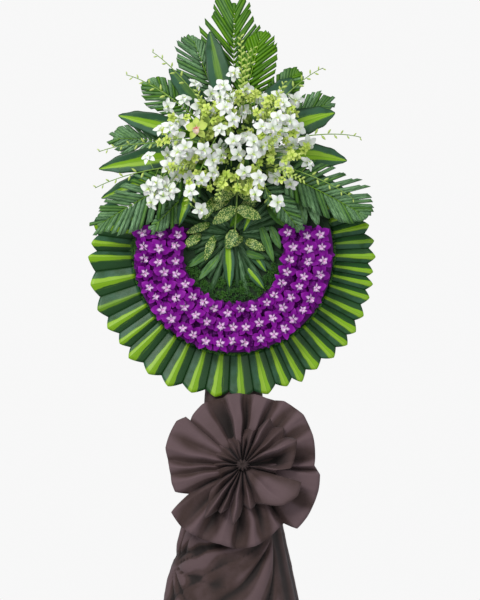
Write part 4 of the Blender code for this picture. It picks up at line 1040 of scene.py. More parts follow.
def build_band():
    """Purple orchids over a bed of petals darkened with painted shade, in five pieces."""
    settings = bpy.context.scene.wreath_blooms
    blooms = band_blooms()
    rng = random.Random(BLOOM_SEED)
    names = ("purple_petal_finish", "purple_lip_finish", "purple_shade_finish")
    for side, (start, end) in BAND_PIECES.items():
        bm = new_mesh()

        def mat(u, v):
            radius = BAND_INNER + (BAND_OUTER - BAND_INNER) * (u + 1) / 2
            first, last = band_limits(radius)
            first, last = max(start, first), min(end, last)
            spot = head_point(radius, first + (last - first) * v, 0.0)
            spot.y = DISC_FRONT - GAP - 0.001 - 0.008 * (1 - u**4) + 0.002 * unrest(spot, 0.012)
            return spot

        # The bed takes the purple shade finish: painted shade between the blooms
        shaped_grid(bm, 10, 24, mat, 2, 0.0)
        for angle, centre, facing, roll in blooms:
            if not start <= angle < end:
                continue
            radius = settings.purple_radius * rng.uniform(0.92, 1.14)
            facing = (facing + Vector((rng.uniform(-0.3, 0.3), 0.0, rng.uniform(-0.3, 0.2)))).normalized()
            centre = centre + Vector((rng.uniform(-0.005, 0.005), 0.0, rng.uniform(-0.005, 0.005)))
            roll += rng.uniform(-0.4, 0.4)
            tone, openness = rng.uniform(0.3, 1.0), rng.uniform(0.24, 0.50)
            orchid(bm, centre, facing, roll, radius, tone, openness, PURPLE_PETALS)
            for _ in range(UNDER_BLOOMS):
                x = centre.x + rng.uniform(-UNDER_SPREAD, UNDER_SPREAD)
                z = centre.z + rng.uniform(-UNDER_SPREAD, UNDER_SPREAD) - HEAD_Z
                away = Vector((x, 0.0, min(z, BAND_RISE - 0.012)))
                away *= min(max(away.length, UNDER_REACH[0]), UNDER_REACH[1]) / away.length
                below = Vector((away.x, UNDER_Y + rng.uniform(-0.003, 0.003), HEAD_Z + away.z))
                lean = Vector((rng.uniform(-0.5, 0.5), -1.0, rng.uniform(-0.5, 0.5))).normalized()
                # Low tones and the shade finish give the under blooms painted shade
                turn, tone = rng.uniform(-3.1, 3.1), rng.uniform(0.0, 0.5)
                small = 0.88 * settings.purple_radius
                orchid(bm, below, lean, turn, small, tone, 0.44, PURPLE_PETALS, 2, 2, 2, 3)
        name = "purple_orchids_" + side
        make_piece(name + "_blooms", bm, names, [name])


# Fronds and broad leaves


def leaflet(bm, root, along, up, size, half_width, tone, cut, finish=0):
    """One palm leaflet: a strip folded along its rib, bent a little and cut off at the end."""
    across = along.cross(up).normalized()
    up = across.cross(along)

    def place(u, v):
        trimmed = v * (1 - cut * 0.5 * (1 + u) * v**4)
        width = half_width * min(1.0, 0.50 + 2.8 * v) * (1.0 - 0.12 * v)
        rise = 0.0006 - 0.62 * abs(u) * width + size * (0.05 * v - 0.09 * v * v)
        return root + along * (size * trimmed) + across * (u * width) + up * rise

    shaped_grid(bm, 2, 5, place, finish, tone)


def build_frond(name):
    """A palm frond: its stalk out of the block, pairs of leaflets and two more at the tip."""
    leaf = bpy.context.scene.wreath_leaves
    tip, layer, tip_y, first_share, leaflets, left_length, right_length = FRONDS[name]
    rng = random.Random(name)
    exit_point = block_exit(tip, LAYERS[layer])
    inner = inward(exit_point, tip)
    end = Vector((tip[0], tip_y, tip[1]))
    curve = arched(exit_point, end, (0.0, -0.004, 0.012))
    bm = new_mesh()
    stem(bm, curve, 24, STALK_RADIUS, 0.0015, 6, 1, FROND_TONES[name], inner)
    shorter_tip = 0.30 if name == "frond_top" else 0.0
    for index in range(leaflets):
        place = (index + 0.5) / leaflets
        root, along = on_curve(curve, first_share + (1 - first_share) * place)
        side, up = frame_along(along, FRONT)
        swell = max(math.sin(math.pi * (0.16 + 0.80 * place)) ** 0.75, SHORTEST_LEAFLET.get(name, 0.50))
        swell *= 1 - shorter_tip * max(0.0, 5 * place - 4)
        for sign, longest in ((1, right_length), (-1, left_length)):
            spread = math.radians(FOOT_SPREAD - LESS_SPREAD * place + rng.uniform(-4.0, 4.0))
            out = math.cos(spread) * along + math.sin(spread) * sign * side + rng.uniform(-0.02, 0.06) * up
            size = longest * swell * rng.uniform(0.91, 1.03)
            tone = min(1.0, max(0.0, FROND_TONES[name] + rng.uniform(-0.34, 0.30)))
            half_width = leaf.leaflet_width * rng.uniform(0.85, 1.15)
            leaflet(bm, root, out.normalized(), up, size, half_width, tone, rng.uniform(0.04, 0.16) * sign)
    point, along = on_curve(curve, 1.0)
    side, up = frame_along(along, FRONT)
    size, half_width = 0.18 * max(left_length, right_length), 0.8 * leaf.leaflet_width
    for turn in (-0.10, 0.10):
        leaflet(bm, point, (along + turn * side).normalized(), up, size, half_width, FROND_TONES[name], 0.05)
    names = ("palm_leaf_finish", "rib_finish")
    make_piece(name + "_leaflets", bm, names, [name], leaf.leaf_thickness)


def blade(bm, curve, start, half_width, fold, wave, tone, finish=0, columns=10, rows=20):
    """A leaf blade along a curve, folded at its rib and waved at its edges."""

    def place(u, v):
        point, along = on_curve(curve, start + (1 - start) * v)
        side, up = frame_along(along, FRONT)
        half = max(half_width * between(LEAF_SHAPE, v), 0.0012)
        rise = fold * half * abs(u) ** 1.15 + wave * math.sin(11.0 * v + 2.0 * u) * u * u
        return point + side * (u * half) + up * (rise + 0.0004)

    shaped_grid(bm, columns, rows, place, finish, tone)


def build_broad_leaf(name):
    """A broad striped leaf on its stalk out of the block."""
    leaf = bpy.context.scene.wreath_leaves
    tip, layer, start, half_width, tone = BROAD_LEAVES[name]
    y = LAYERS[layer]
    exit_point = block_exit(tip, y)
    end = Vector((tip[0], y - 0.002, tip[1]))
    curve = arched(exit_point, end, (0.0, -0.004, 0.014))
    bm = new_mesh()
    stalk = [inward(exit_point, tip)] + [bezier(curve, start * k / 3 + 0.01 * k) for k in range(4)]
    tube(bm, stalk, [STALK_RADIUS, STALK_RADIUS, 0.0021, 0.0019, 0.0012], 6, 1, 0.6)
    blade(bm, curve, start, half_width * 1.13, 0.20, 0.0026, tone)
    names = ("broad_leaf_finish", "rib_finish")
    make_piece(name + "_blade", bm, names, [name], leaf.leaf_thickness)


# White sprays


def spray_curve(name):
    """(inner end, exit, control points) of a spray's stem."""
    (x, where, z), tip, tip_y, _, _, _ = SPRAYS[name]
    if where == "front":
        exit_point = Vector((x, BLOCK_FRONT, z))
        inner = exit_point + Vector((0.0, STEM_IN_BLOCK, 0.0))
        start = exit_point + Vector((0.0, -0.035, 0.0))
    else:
        exit_point = Vector((x, LAYERS[where], z))
        inner = inward(exit_point, tip)
        start = exit_point + (exit_point - inner)
    end = Vector((tip[0], tip_y, tip[1]))
    bulge = start.lerp(end, 0.55) + Vector((0.0, -0.045, 0.030))
    return inner, exit_point, (exit_point, start, bulge, end)


def spray_line(name):
    """The stem as straight pieces, from where it leaves the block to its tip."""
    _, _, curve = spray_curve(name)
    return [bezier(curve, k / SPRAY_STEPS) for k in range(SPRAY_STEPS + 1)]


def on_line(line, share):
    """A point on the straight pieces of a stem, and the direction there."""
    place = min(share, 0.9999) * (len(line) - 1)
    index = int(place)
    start, end = line[index], line[index + 1]
    return start.lerp(end, place - index), (end - start).normalized()


def clear_of_block(centre, reach):
    """Whether a bloom there stands beside, above or in front of the foam block."""
    if centre.y < BLOCK_FRONT - 0.015:
        return True
    return abs(centre.x) > BLOCK_HALF_WIDTH + reach or abs(centre.z - BLOCK_Z) > BLOCK_HALF_HEIGHT + reach


def far_enough(centre, others, reach):
    """Whether a place keeps that distance from the others, where depth counts for more."""
    aways = (centre - other for other in others)
    return all(away.x**2 + away.z**2 + (away.y / FLATNESS) ** 2 >= reach**2 for away in aways)


def find_bloom(rng, line, along, own, others, stems):
    """The roomiest of many random places for a bloom beside a stem, as (centre, facing, roll, root)."""
    root, ahead = on_line(line, along)
    side, up = frame_along(ahead, FRONT)
    best, best_room = None, 0.0
    for _ in range(BLOOM_TRIES):
        angle = rng.uniform(-BLOOM_ARC, BLOOM_ARC) + math.pi / 2
        reach = rng.uniform(*BLOOM_REACH)
        centre = root + reach * (math.cos(angle) * side + math.sin(angle) * up) + 0.006 * ahead
        facing = (centre - root).normalized() * 0.55 + Vector((0.0, -1.0, 0.10))
        clear = (
            BLOOM_DEPTHS[0] < centre.y < BLOOM_DEPTHS[1]
            and clear_of_block(centre, WHITE_REACH)
            and far_enough(centre, others, 2.0 * WHITE_REACH)
            and math.hypot(centre.x - GREEN_FOOT[0], centre.z - GREEN_FOOT[2]) > 2.0 * GREEN_REACH
            and far_enough(centre, own, 1.35 * WHITE_REACH)
            and far_enough(centre, stems, 1.25 * WHITE_REACH)
        )
        room = min([math.hypot(centre.x - o.x, centre.z - o.z) for o in others + own], default=1.0)
        if clear and room > best_room:
            best, best_room = (centre, facing.normalized(), rng.uniform(-0.5, 0.5), root), room
    return best


def place_white_blooms():
    """Blooms of every spray as {name: [(centre, facing, roll, root)]}, kept clear of the other sprays."""
    rng = random.Random(SPRAY_SEED)
    stems = {}
    for name in SPRAYS:
        line = spray_line(name)
        stems[name] = [on_line(line, k / 24)[0] for k in range(25)]
    placed = {name: [] for name in SPRAYS}
    green_stem = green_line()
    most = max(row[4] for row in SPRAYS.values())
    for turn in range(most):
        for name, ((_, where, _), _, _, share, count, _) in SPRAYS.items():
            if turn >= count:
                continue
            near = 0.28 if where == "front" else 0.18
            along = near + (share - near) * (turn + 0.5) / count
            own = [spot for spot, _, _, _ in placed[name]]
            others = [spot for key in SPRAYS if key != name for spot, _, _, _ in placed[key]]
            other_stems = green_stem + [spot for key in SPRAYS if key != name for spot in stems[key]]
            found = find_bloom(rng, spray_line(name), along, own, others, other_stems)
            if found:
                placed[name].append(found)
    return placed


def build_spray(name, blooms):
    """A spray of white orchids: its stem, the blooms on short stalks, and buds."""
    settings = bpy.context.scene.wreath_blooms
    rng = random.Random(name)
    _, _, _, share, _, buds = SPRAYS[name]
    inner, _, curve = spray_curve(name)
    line = spray_line(name)
    bm = new_mesh()
    stem(bm, curve, 18, settings.stem_radius, settings.stem_radius - 0.0011, 6, 2, 0.4, inner)
    if name == "white_spray_left_low":
        for x, z in LEFT_LOW_CLUSTER:
            root, _ = on_line(line, 0.16 + 0.42 * (-0.18 - x) / 0.08)
            centre = Vector((x, rng.uniform(-0.195, -0.170), z))
            facing = Vector((rng.uniform(-0.6, 0.4), -1.0, rng.uniform(-0.4, 0.3)))
            blooms = blooms + [(centre, facing, rng.uniform(-2, 2), root)]
    for centre, facing, roll, root in blooms:
        back = centre - 0.16 * settings.white_radius * facing
        bend = root.lerp(back, 0.55) + Vector((0.0, 0.0, -0.003))
        tube(bm, [root, bend, back, centre], [0.0011, 0.0010, 0.0016, 0.0022], 5, 2, 0.9)
        radius = settings.white_radius * rng.uniform(0.90, 1.08)
        turned = facing + Vector((rng.uniform(-0.5, 0.5), 0.0, rng.uniform(-0.45, 0.35)))
        spin = roll + rng.uniform(-0.6, 0.6)
        orchid(bm, centre, turned.normalized(), spin, radius, rng.uniform(0.35, 1.0), rng.uniform(0.12, 0.52))
    tips = buds or 2
    for index in range(2 * tips):
        along = share + (1.0 - share) * (index + 0.8) / (2 * tips) if buds else 0.90 + 0.02 * index
        root, ahead = on_line(line, along)
        side, up = frame_along(ahead, FRONT)
        lean = (ahead * 0.6 + side * (0.8 if index % 2 else -0.8) + up * rng.uniform(-0.2, 0.5)).normalized()
        size = 0.018 - 0.010 * index / (2 * tips)
        start = root + 0.25 * size * lean
        tube(bm, [root, start], [0.0007, 0.0008], 4, 2, 0.8)
        bud(bm, start, lean, size, 0.22 * size, 3, rng.uniform(0.3, 1.0))
    names = ("white_petal_finish", "white_lip_finish", "stem_finish", "bud_finish")
    make_piece(name + "_blooms", bm, names, [name])


def green_line():
    """The yellow-green orchid's stem, from where it leaves the block to the foot of the bloom."""
    exit_point = Vector((GREEN_EXIT[0], BLOCK_FRONT, GREEN_EXIT[1]))
    curve = (exit_point, exit_point + Vector((0.0, -0.03, 0.0)), Vector(GREEN_FOOT))
    return [bezier(curve, k / 4) for k in range(5)]


def build_green_orchid():
    """The yellow-green orchid on its own stem."""
    settings = bpy.context.scene.wreath_blooms
    line = green_line()
    bm = new_mesh()
    tube(bm, [line[0] + Vector((0.0, STEM_IN_BLOCK, 0.0))] + line, [0.0025] * 6, 8, 2, 0.5)
    facing = Vector(GREEN_FACING).normalized()
    centre = line[-1] + 0.010 * facing
    orchid(bm, centre, facing, 0.1, settings.green_radius, 0.9, 0.30, WHITE_PETALS, 0, 1, 6, 9)
    names = ("green_petal_finish", "green_lip_finish", "stem_finish")
    make_piece("green_orchid_bloom", bm, names, ["green_orchid"])


# Greens over the middle of the disc


def strip_reach(angle):
    """How far a palm strip runs from the hub before it meets the orchids or the foam block."""
    dx, dz = math.cos(angle), math.sin(angle)
    if dz > OPEN_SLOPE:
        ceiling = BLOCK_Z - BLOCK_HALF_HEIGHT - 0.003 - INNER_HUB[1]
        under_block = abs(dx) * ceiling / dz < BLOCK_HALF_WIDTH + 0.012
        return ceiling / dz if under_block else LONG_STRIP
    rise = INNER_HUB[1] - HEAD_Z
    return -rise * dz + math.sqrt((rise * dz) ** 2 - rise**2 + INNER_RADIUS**2)


def build_inner_fan():
    """Palm strips all round the hub, every second one shorter."""
    rng = random.Random(STRIP_SEED)
    shades = random.Random(SHADE_SEED)
    hub = Vector((INNER_HUB[0], DISC_FRONT - GAP, INNER_HUB[1]))
    bm = new_mesh()
    for index in range(2 * INNER_STRIPS):
        angle = math.pi * index / INNER_STRIPS
        reach = strip_reach(angle) * (rng.uniform(0.92, 1.0) if index % 2 else 0.80)
        along = Vector((math.cos(angle), -0.02 - 0.04 * shades.random(), math.sin(angle))).normalized()
        root = hub + 0.02 * along - Vector((0.0, 0.001 + 0.003 * (index % 3), 0.0))
        # Low tones, at and below zero, give these strips painted shade
        tone = -0.15 + 0.19 * shades.random()
        leaflet(bm, root, along, FRONT, reach - 0.02, STRIP_HALF_WIDTH, tone, 0.04)
    replaced = ["inner_palm_strips"]
    make_piece("inner_palm_leaflets", bm, ("palm_leaf_finish",), replaced, INNER_THICKNESS)


def laid_curve(start, end, lift):
    """The line of a leaf that lies over the disc and rises between its ends."""
    foot_y = DISC_FRONT - 2 * GAP - INNER_LIFT
    first = Vector((start[0], foot_y, start[1]))
    last = Vector((end[0], foot_y - 0.5 * lift, end[1]))
    return arched(first, last, (0.0, -lift, 0.0))


# More leaves of the inner field: start, end, half width, lift, finish, shade
INNER_LEAVES = (
    ((-0.128, 1.338), (-0.160, 1.228), 0.019, 0.110, 0, 1.00),
    ((-0.150, 1.300), (-0.190, 1.235), 0.012, 0.040, 1, 0.30),
    ((-0.052, 1.316), (-0.090, 1.246), 0.016, 0.045, 2, 0.80),
    ((-0.006, 1.322), (-0.060, 1.272), 0.014, 0.050, 2, 0.60),
    ((0.094, 1.330), (0.020, 1.286), 0.015, 0.050, 2, 0.90),
    ((0.030, 1.345), (0.062, 1.285), 0.014, 0.055, 2, 0.70),
    ((0.050, 1.290), (-0.010, 1.226), 0.013, 0.040, 1, 0.95),
    ((0.058, 1.276), (0.030, 1.212), 0.012, 0.036, 0, 1.00),
    ((0.100, 1.298), (0.152, 1.226), 0.016, 0.030, 1, 0.55),
    ((-0.068, 1.236), (-0.140, 1.208), 0.013, 0.026, 2, 0.20),
    ((-0.096, 1.204), (-0.148, 1.166), 0.015, 0.022, 2, 0.90),
    ((-0.056, 1.202), (-0.084, 1.126), 0.014, 0.024, 2, 0.90),
    ((0.030, 1.196), (-0.026, 1.164), 0.014, 0.030, 2, 0.80),
    ((0.034, 1.186), (0.094, 1.156), 0.015, 0.028, 2, 0.70),
    ((0.030, 1.150), (0.094, 1.132), 0.012, 0.018, 1, 0.48),
    ((0.040, 1.106), (0.092, 1.040), 0.014, 0.010, 0, 0.60),
    ((-0.036, 1.146), (-0.104, 1.068), 0.012, 0.012, 1, 0.40),
    ((-0.060, 1.160), (-0.134, 1.106), 0.012, 0.012, 1, 0.44),
    ((0.110, 1.230), (0.140, 1.160), 0.013, 0.014, 1, 0.42),
    ((0.078, 1.240), (0.120, 1.120), 0.013, 0.014, 1, 0.45),
    ((0.160, 1.330), (0.176, 1.238), 0.016, 0.018, 1, 0.20),
    ((0.190, 1.330), (0.214, 1.230), 0.017, 0.022, 1, 0.28),
    ((0.220, 1.330), (0.252, 1.228), 0.017, 0.026, 1, 0.16),
    ((-0.176, 1.330), (-0.196, 1.232), 0.016, 0.022, 1, 0.30),
)


def build_inner_leaves():
    """The striped and the dark leaf over the strips, and smaller leaves round them."""
    for name, start, end, half_width, lift, tone in (
        ("inner_striped_leaf", (-0.016, 1.190), (-0.012, 1.045), 0.019, 0.016, 1.0),
        ("inner_dark_leaf", (0.040, 1.170), (0.098, 1.092), 0.015, 0.012, 0.35),
    ):
        bm = new_mesh()
        blade(bm, laid_curve(start, end, lift), 0.0, half_width, 0.22, 0.001, tone, 0, 10, 16)
        make_piece(name + "_blade", bm, ("broad_leaf_finish",), [name], INNER_THICKNESS)
    bm = new_mesh()
    for start, end, half_width, lift, finish, tone in INNER_LEAVES:
        blade(bm, laid_curve(start, end, lift), 0.0, half_width, 0.20, 0.0015, tone, finish, 6, 12)
    names = ("broad_leaf_finish", "palm_leaf_finish", "speckled_leaf_finish")
    make_piece("inner_field_leaves", bm, names, (), INNER_THICKNESS)


def build_speckled_sprig():
    """A hanging sprig of speckled leaves out of the block's underside."""
    exit_point = Vector((*SPRIG_EXIT, BLOCK_Z - BLOCK_HALF_HEIGHT))
    inner = exit_point + Vector((0.0, 0.0, STEM_IN_BLOCK))
    curve = (exit_point, exit_point + Vector((0.0, -0.004, -0.06)), Vector(SPRIG_TIP))
    bm = new_mesh()
    stem(bm, curve, 10, 0.0025, 0.0, 6, 1, 0.5, inner)
    for share, angle, size in SPRIG_LEAVES:
        root = bezier(curve, share)
        turn = math.radians(angle)
        along = Vector((math.cos(turn), -0.12, math.sin(turn))).normalized()
        arch = arched(root, root + along * size, (0.0, -0.010, 0.0))
        blade(bm, arch, 0.0, SPRIG_HALF_WIDTH, 0.20, 0.001, 0.5, 0, 8, 14)
    names, replaced = ("speckled_leaf_finish", "stem_finish"), ["speckled_sprig"]
    make_piece("speckled_sprig_leaves", bm, names, replaced, INNER_THICKNESS)


# Moss and filling greens


MOSS_SEED = 31
INNER_TUFTS = 230
# Moss in the inner field: its arc and the lower arc where it spreads further in, in degrees, and its radii
MOSS_ARC = (196, 346)
MOSS_FOOT = (236, 304)
MOSS_INNER = (0.078, 0.120)
MOSS_OUTER = 0.152
RIM_TUFTS = 300
# Where the moss shows at the outer edge of the orchids, in degrees, and the tufts there
MOSS_GAPS = (178, 258)
GAP_TUFTS = 16
GREENS_SEED = 44
GREENS = 150
FLORETS = 120
# Half width, half height and middle height of the oval that the florets fill
FLORET_OVAL = (0.215, 0.150, 1.468)


def tuft(bm, root, outward, size, rng, finish=0, tone=0.5, blades=9):
    """A sprig of moss: short pointed blades that lean out all round."""
    side, up = frame_along(outward, Vector((0.3, 0.2, 1.0)))
    for index in range(blades):
        turn = math.tau * (index + rng.random()) / blades
        lean = rng.uniform(0.25, 1.1)
        along = (outward + lean * (math.cos(turn) * side + math.sin(turn) * up)).normalized()
        across = along.cross(outward + Vector((0.01, 0.0, 0.0))).normalized()
        reach = size * rng.uniform(0.6, 1.1)

        def place(u, v):
            width = 0.0011 * (1 - v) ** 0.7 + 0.0002
            return root + along * (reach * v) + across * (u * width) - outward * (0.35 * reach * v * v)

        shaped_grid(bm, 1, 3, place, finish, tone)


def build_moss():
    """Moss along both edges of the horseshoe and over the rim of the disc."""
    size = bpy.context.scene.wreath_leaves.moss_length
    rng = random.Random(MOSS_SEED)
    bm = new_mesh()
    for _ in range(INNER_TUFTS):
        angle = rng.uniform(*MOSS_ARC)
        low = MOSS_INNER[0] if MOSS_FOOT[0] < angle < MOSS_FOOT[1] else MOSS_INNER[1]
        spot = head_point(rng.uniform(low, MOSS_OUTER), angle, DISC_FRONT - 0.002)
        outward = (FRONT + 0.5 * (head_point(0.0, 0.0, spot.y) - spot).normalized()).normalized()
        tuft(bm, spot, outward, size, rng, 0, rng.random())
    for middle in MOSS_GAPS:
        for _ in range(GAP_TUFTS):
            spot = head_point(0.298, middle + rng.uniform(-4, 4), DISC_FRONT - 0.004)
            tuft(bm, spot, FRONT, 1.2 * size, rng, 0, rng.uniform(0.4, 1.0))
    make_piece("moss_inner_edge", bm, ("moss_finish",))
    bm = new_mesh()
    for _ in range(RIM_TUFTS):
        angle = rng.uniform(0, 360)
        depth = rng.uniform(-0.046, -0.020)
        spot = head_point(DISC_RADIUS - 0.001, angle, depth)
        outward = ((spot - head_point(0.0, 0.0, depth)).normalized() + 0.6 * FRONT).normalized()
        tuft(bm, spot, outward, 0.8 * size, rng, 0, rng.random(), 7)
    make_piece("moss_rim", bm, ("moss_finish",))


# Small sprays of buds in front of the white orchids: foot, tip, number of buds
BUD_SPRAYS = (
    ((0.030, -0.150, 1.520), (0.022, -0.200, 1.772), 22),
    ((0.012, -0.150, 1.510), (0.046, -0.190, 1.730), 18),
    ((0.080, -0.150, 1.440), (0.128, -0.255, 1.476), 14),
    ((-0.060, -0.150, 1.500), (-0.106, -0.215, 1.618), 14),
    ((0.080, -0.150, 1.500), (0.150, -0.205, 1.640), 14),
    ((-0.080, -0.150, 1.420), (-0.190, -0.215, 1.380), 16),
    ((0.085, -0.150, 1.410), (0.205, -0.215, 1.352), 16),
    ((-0.020, -0.150, 1.400), (-0.046, -0.230, 1.296), 12),
)


def add_small_greens(bm, rng):
    """Small leaves and buds that hide the foam block."""
    for _ in range(GREENS):
        face = rng.choice(("front", "front", "front", "left", "right", "top", "bottom"))
        x = rng.uniform(-BLOCK_HALF_WIDTH, BLOCK_HALF_WIDTH)
        z = BLOCK_Z + rng.uniform(-BLOCK_HALF_HEIGHT, BLOCK_HALF_HEIGHT)
        y = rng.uniform(BLOCK_FRONT, -0.075)
        if face == "front":
            root, out = Vector((x, BLOCK_FRONT, z)), FRONT
        elif face in ("left", "right"):
            sign = -1 if face == "left" else 1
            root, out = Vector((sign * BLOCK_HALF_WIDTH, y, z)), Vector((sign, 0.0, 0.0))
        else:
            sign = -1 if face == "bottom" else 1
            root, out = Vector((x, y, BLOCK_Z + sign * BLOCK_HALF_HEIGHT)), Vector((0.0, 0.0, sign))
        wander = Vector((rng.uniform(-1, 1), rng.uniform(-1, 0.2), rng.uniform(-1, 1)))
        along = (out * 0.9 + wander * 0.8).normalized()
        if rng.random() < 0.30:
            bud(bm, root, along, rng.uniform(0.022, 0.036), 0.0042, 2, rng.random())
            continue
        arch = arched(root, root + along * rng.uniform(0.040, 0.070), 0.010 * out)
        kind = 0 if rng.random() < 0.55 else 1
        blade(bm, arch, 0.0, rng.uniform(0.007, 0.012), 0.25, 0.001, rng.random(), kind, 4, 6)


def add_florets(bm, rng):
    """Small yellow-green blooms between the white ones, clear of the yellow-green orchid."""
    half_width, half_height, middle = FLORET_OVAL
    for _ in range(FLORETS):
        turn, far = rng.uniform(0, math.tau), math.sqrt(rng.random())
        y = rng.uniform(-0.205, -0.165)
        spot = Vector((half_width * far * math.cos(turn), y, middle + half_height * far * math.sin(turn)))
        if math.hypot(spot.x - GREEN_FOOT[0], spot.z - GREEN_FOOT[2]) < GREEN_REACH:
            continue
        foot = Vector((max(min(spot.x, 0.085), -0.085), BLOCK_FRONT, max(min(spot.z, 1.515), 1.385)))
        bend = foot.lerp(spot, 0.6) + Vector((0.0, -0.006, 0.004))
        tube(bm, [foot, bend, spot], [0.0012, 0.0010, 0.0012], 4, 3, 0.3)
        facing = Vector((rng.uniform(-0.7, 0.7), -1.0, rng.uniform(-0.4, 0.7))).normalized()
        radius, roll = rng.uniform(0.013, 0.019), rng.uniform(-3, 3)
        tone, openness = rng.random(), rng.uniform(0.0, 0.35)
        orchid(bm, spot, facing, roll, radius, tone, openness, WHITE_PETALS, 4, 4, 2, 3)


def add_bud_sprays(bm, rng):
    """Thin stems with buds on both sides, in front of the white orchids."""
    for foot, tip, count in BUD_SPRAYS:
        curve = arched(Vector(foot), Vector(tip), (0.0, -0.012, 0.0))
        stem(bm, curve, 8, 0.0013, 0.0008, 5, 0, 0.6)
        for index in range(count):
            root, ahead = on_curve(curve, 0.25 + 0.75 * (index + 0.5) / count)
            side, up = frame_along(ahead, FRONT)
            lean = 0.7 * ahead + (0.8 if index % 2 else -0.8) * side + rng.uniform(-0.3, 0.6) * up
            size = rng.uniform(0.013, 0.020) * (1.2 - 0.5 * index / count)
            bud(bm, root, lean.normalized(), size, 0.24 * size, 2, rng.uniform(0.5, 1.0))


def build_block_greens():
    """Everything small between the white sprays."""
    rng = random.Random(GREENS_SEED)
    bm = new_mesh()
    add_small_greens(bm, rng)
    add_florets(bm, rng)
    add_bud_sprays(bm, rng)
    names = ("bud_finish", "palm_leaf_finish", "bud_finish", "stem_finish", "floret_finish")
    make_piece("block_greens", bm, names)


# Cloth


def skirt_row(z):
    """Half width, half depth and middle depth of the skirt at a height."""
    for lower, upper in zip(SKIRT_ROWS, SKIRT_ROWS[1:]):
        if z <= upper[0]:
            share = (z - lower[0]) / (upper[0] - lower[0])
            return [a + (b - a) * share for a, b in zip(lower[1:], upper[1:])]
    return list(SKIRT_ROWS[-1][1:])


def superellipse(angle, half_width, half_depth):
    """A point of a rounded rectangle."""
    power = 2 / SQUARENESS
    cosine, sine = math.cos(angle), math.sin(angle)
    x = math.copysign(abs(cosine) ** power, cosine) * half_width
    y = math.copysign(abs(sine) ** power, sine) * half_depth
    return x, y


def from_wrap(wrap, turn, z):
    """The way round the skirt, the distance and the slant from the point where a wrap fans out."""
    angle, height, radius, side = wrap
    aside, drop = radius * math.remainder(turn - angle, math.tau), z - height
    return aside, math.hypot(aside, drop), math.atan2(drop, max(side * aside, 0.001))


def skirt_relief(turn, z, depth):
    """Folds of the skirt: gathers from the neck down, and two wraps that fan out from its sides."""
    fall = 1 - z / SKIRT_ROWS[-1][0]
    gathers = math.sin(13 * turn + 1.6 * fall + 0.8 * math.sin(3 * turn)) * min(1.0, 2.2 * fall)
    gathers *= 1 - 0.45 * fall
    aside, away, slant = from_wrap(RIGHT_WRAP, turn, z)
    wave = math.sin(7.5 * slant + 0.6 * math.sin(2.6 * slant + 6.0 * away) + 1.05)
    strength = 0.75 + 0.45 * math.sin(5.0 * slant + 9.0 * away)
    folds = strength * (2.0 * abs(wave) ** 0.5 - 1.2) * min(1.0, away / 0.07)
    folds *= math.exp(-((away / 0.55) ** 2))
    folds += 0.22 * math.sin(23 * slant + 12 * away) * min(1.0, away / 0.12) * math.exp(-((away / 0.30) ** 2))
    _, left_away, left_slant = from_wrap(LEFT_WRAP, turn, z)
    left_wave = abs(math.sin(6.0 * left_slant + 1.2)) ** 0.5
    folds += 0.8 * (2.0 * left_wave - 1.2) * min(1.0, left_away / 0.06) * math.exp(-((left_away / 0.17) ** 2))
    folds *= min(1.0, max(0.0, 0.5 - aside / 0.06))
    front = 0.5 - 0.5 * math.sin(turn)
    mixed = gathers * (1 - 0.75 * front) + 1.25 * folds * (0.25 + 0.75 * front)
    return depth * mixed * (0.35 + 0.65 * min(1.0, 2.5 * fall))


def build_skirt():
    """The cloth round the tripod, from the neck to the floor."""
    cloth = bpy.context.scene.wreath_cloth
    top = SKIRT_ROWS[-1][0]
    painted_shade_levels = []
    bm = new_mesh()

    def place(u, v):
        turn = math.pi * (u + 1) + math.radians(90)
        z = SKIRT_ROWS[0][0] + (top - SKIRT_ROWS[0][0]) * v
        half_width, half_depth, middle = skirt_row(z)
        x, y = superellipse(turn, half_width, half_depth)
        out = Vector((x, y, 0.0))
        spread = skirt_relief(turn, z, cloth.fold_depth)
        painted_shade_levels.append(spread)
        spot = out * (1 + spread / max(out.length, 0.01))
        spot = Vector((spot.x - 0.009 * (1 - v) ** 1.5, middle + spot.y, z))
        crease = 0.0013 * unrest(spot, 0.035, 4.0) + 0.0006 * unrest(spot, 0.012, 9.0)
        return spot + out.normalized() * crease * min(1.0, (1 - v) * 12)

    made = shaped_grid(bm, 260, 120, place, 0, 0.5)
    shade = bm.verts.layers.float["tone"]
    # Painted shade and highlight: each corner's tone follows the fold relief, so valleys are painted darker
    # and ridges lighter
    for vert, level in zip(made, painted_shade_levels):
        vert[shade] = min(max(0.25 + 0.84 * level / cloth.fold_depth, 0.08), 0.85)
    bmesh.ops.remove_doubles(bm, verts=bm.verts, dist=1e-5)
    bmesh.ops.recalc_face_normals(bm, faces=bm.faces)
    names = ("brown_cloth_finish",)
    piece = make_piece("skirt_cloth", bm, names, ["skirt"], cloth.thickness)


def eased(table, place):
    """A row of a ring table at a place counted in rows, with every column eased from row to row."""
    index = int(place) % len(table)
    share = place - int(place)
    first, second = table[index], table[(index + 1) % len(table)]
    soft = 0.85 * share + 0.15 * share * share * (3 - 2 * share)
    turn = first[0] + (math.remainder(second[0] - first[0], 360)) * share
    return [turn] + [a + (b - a) * soft for a, b in zip(first[1:], second[1:])]


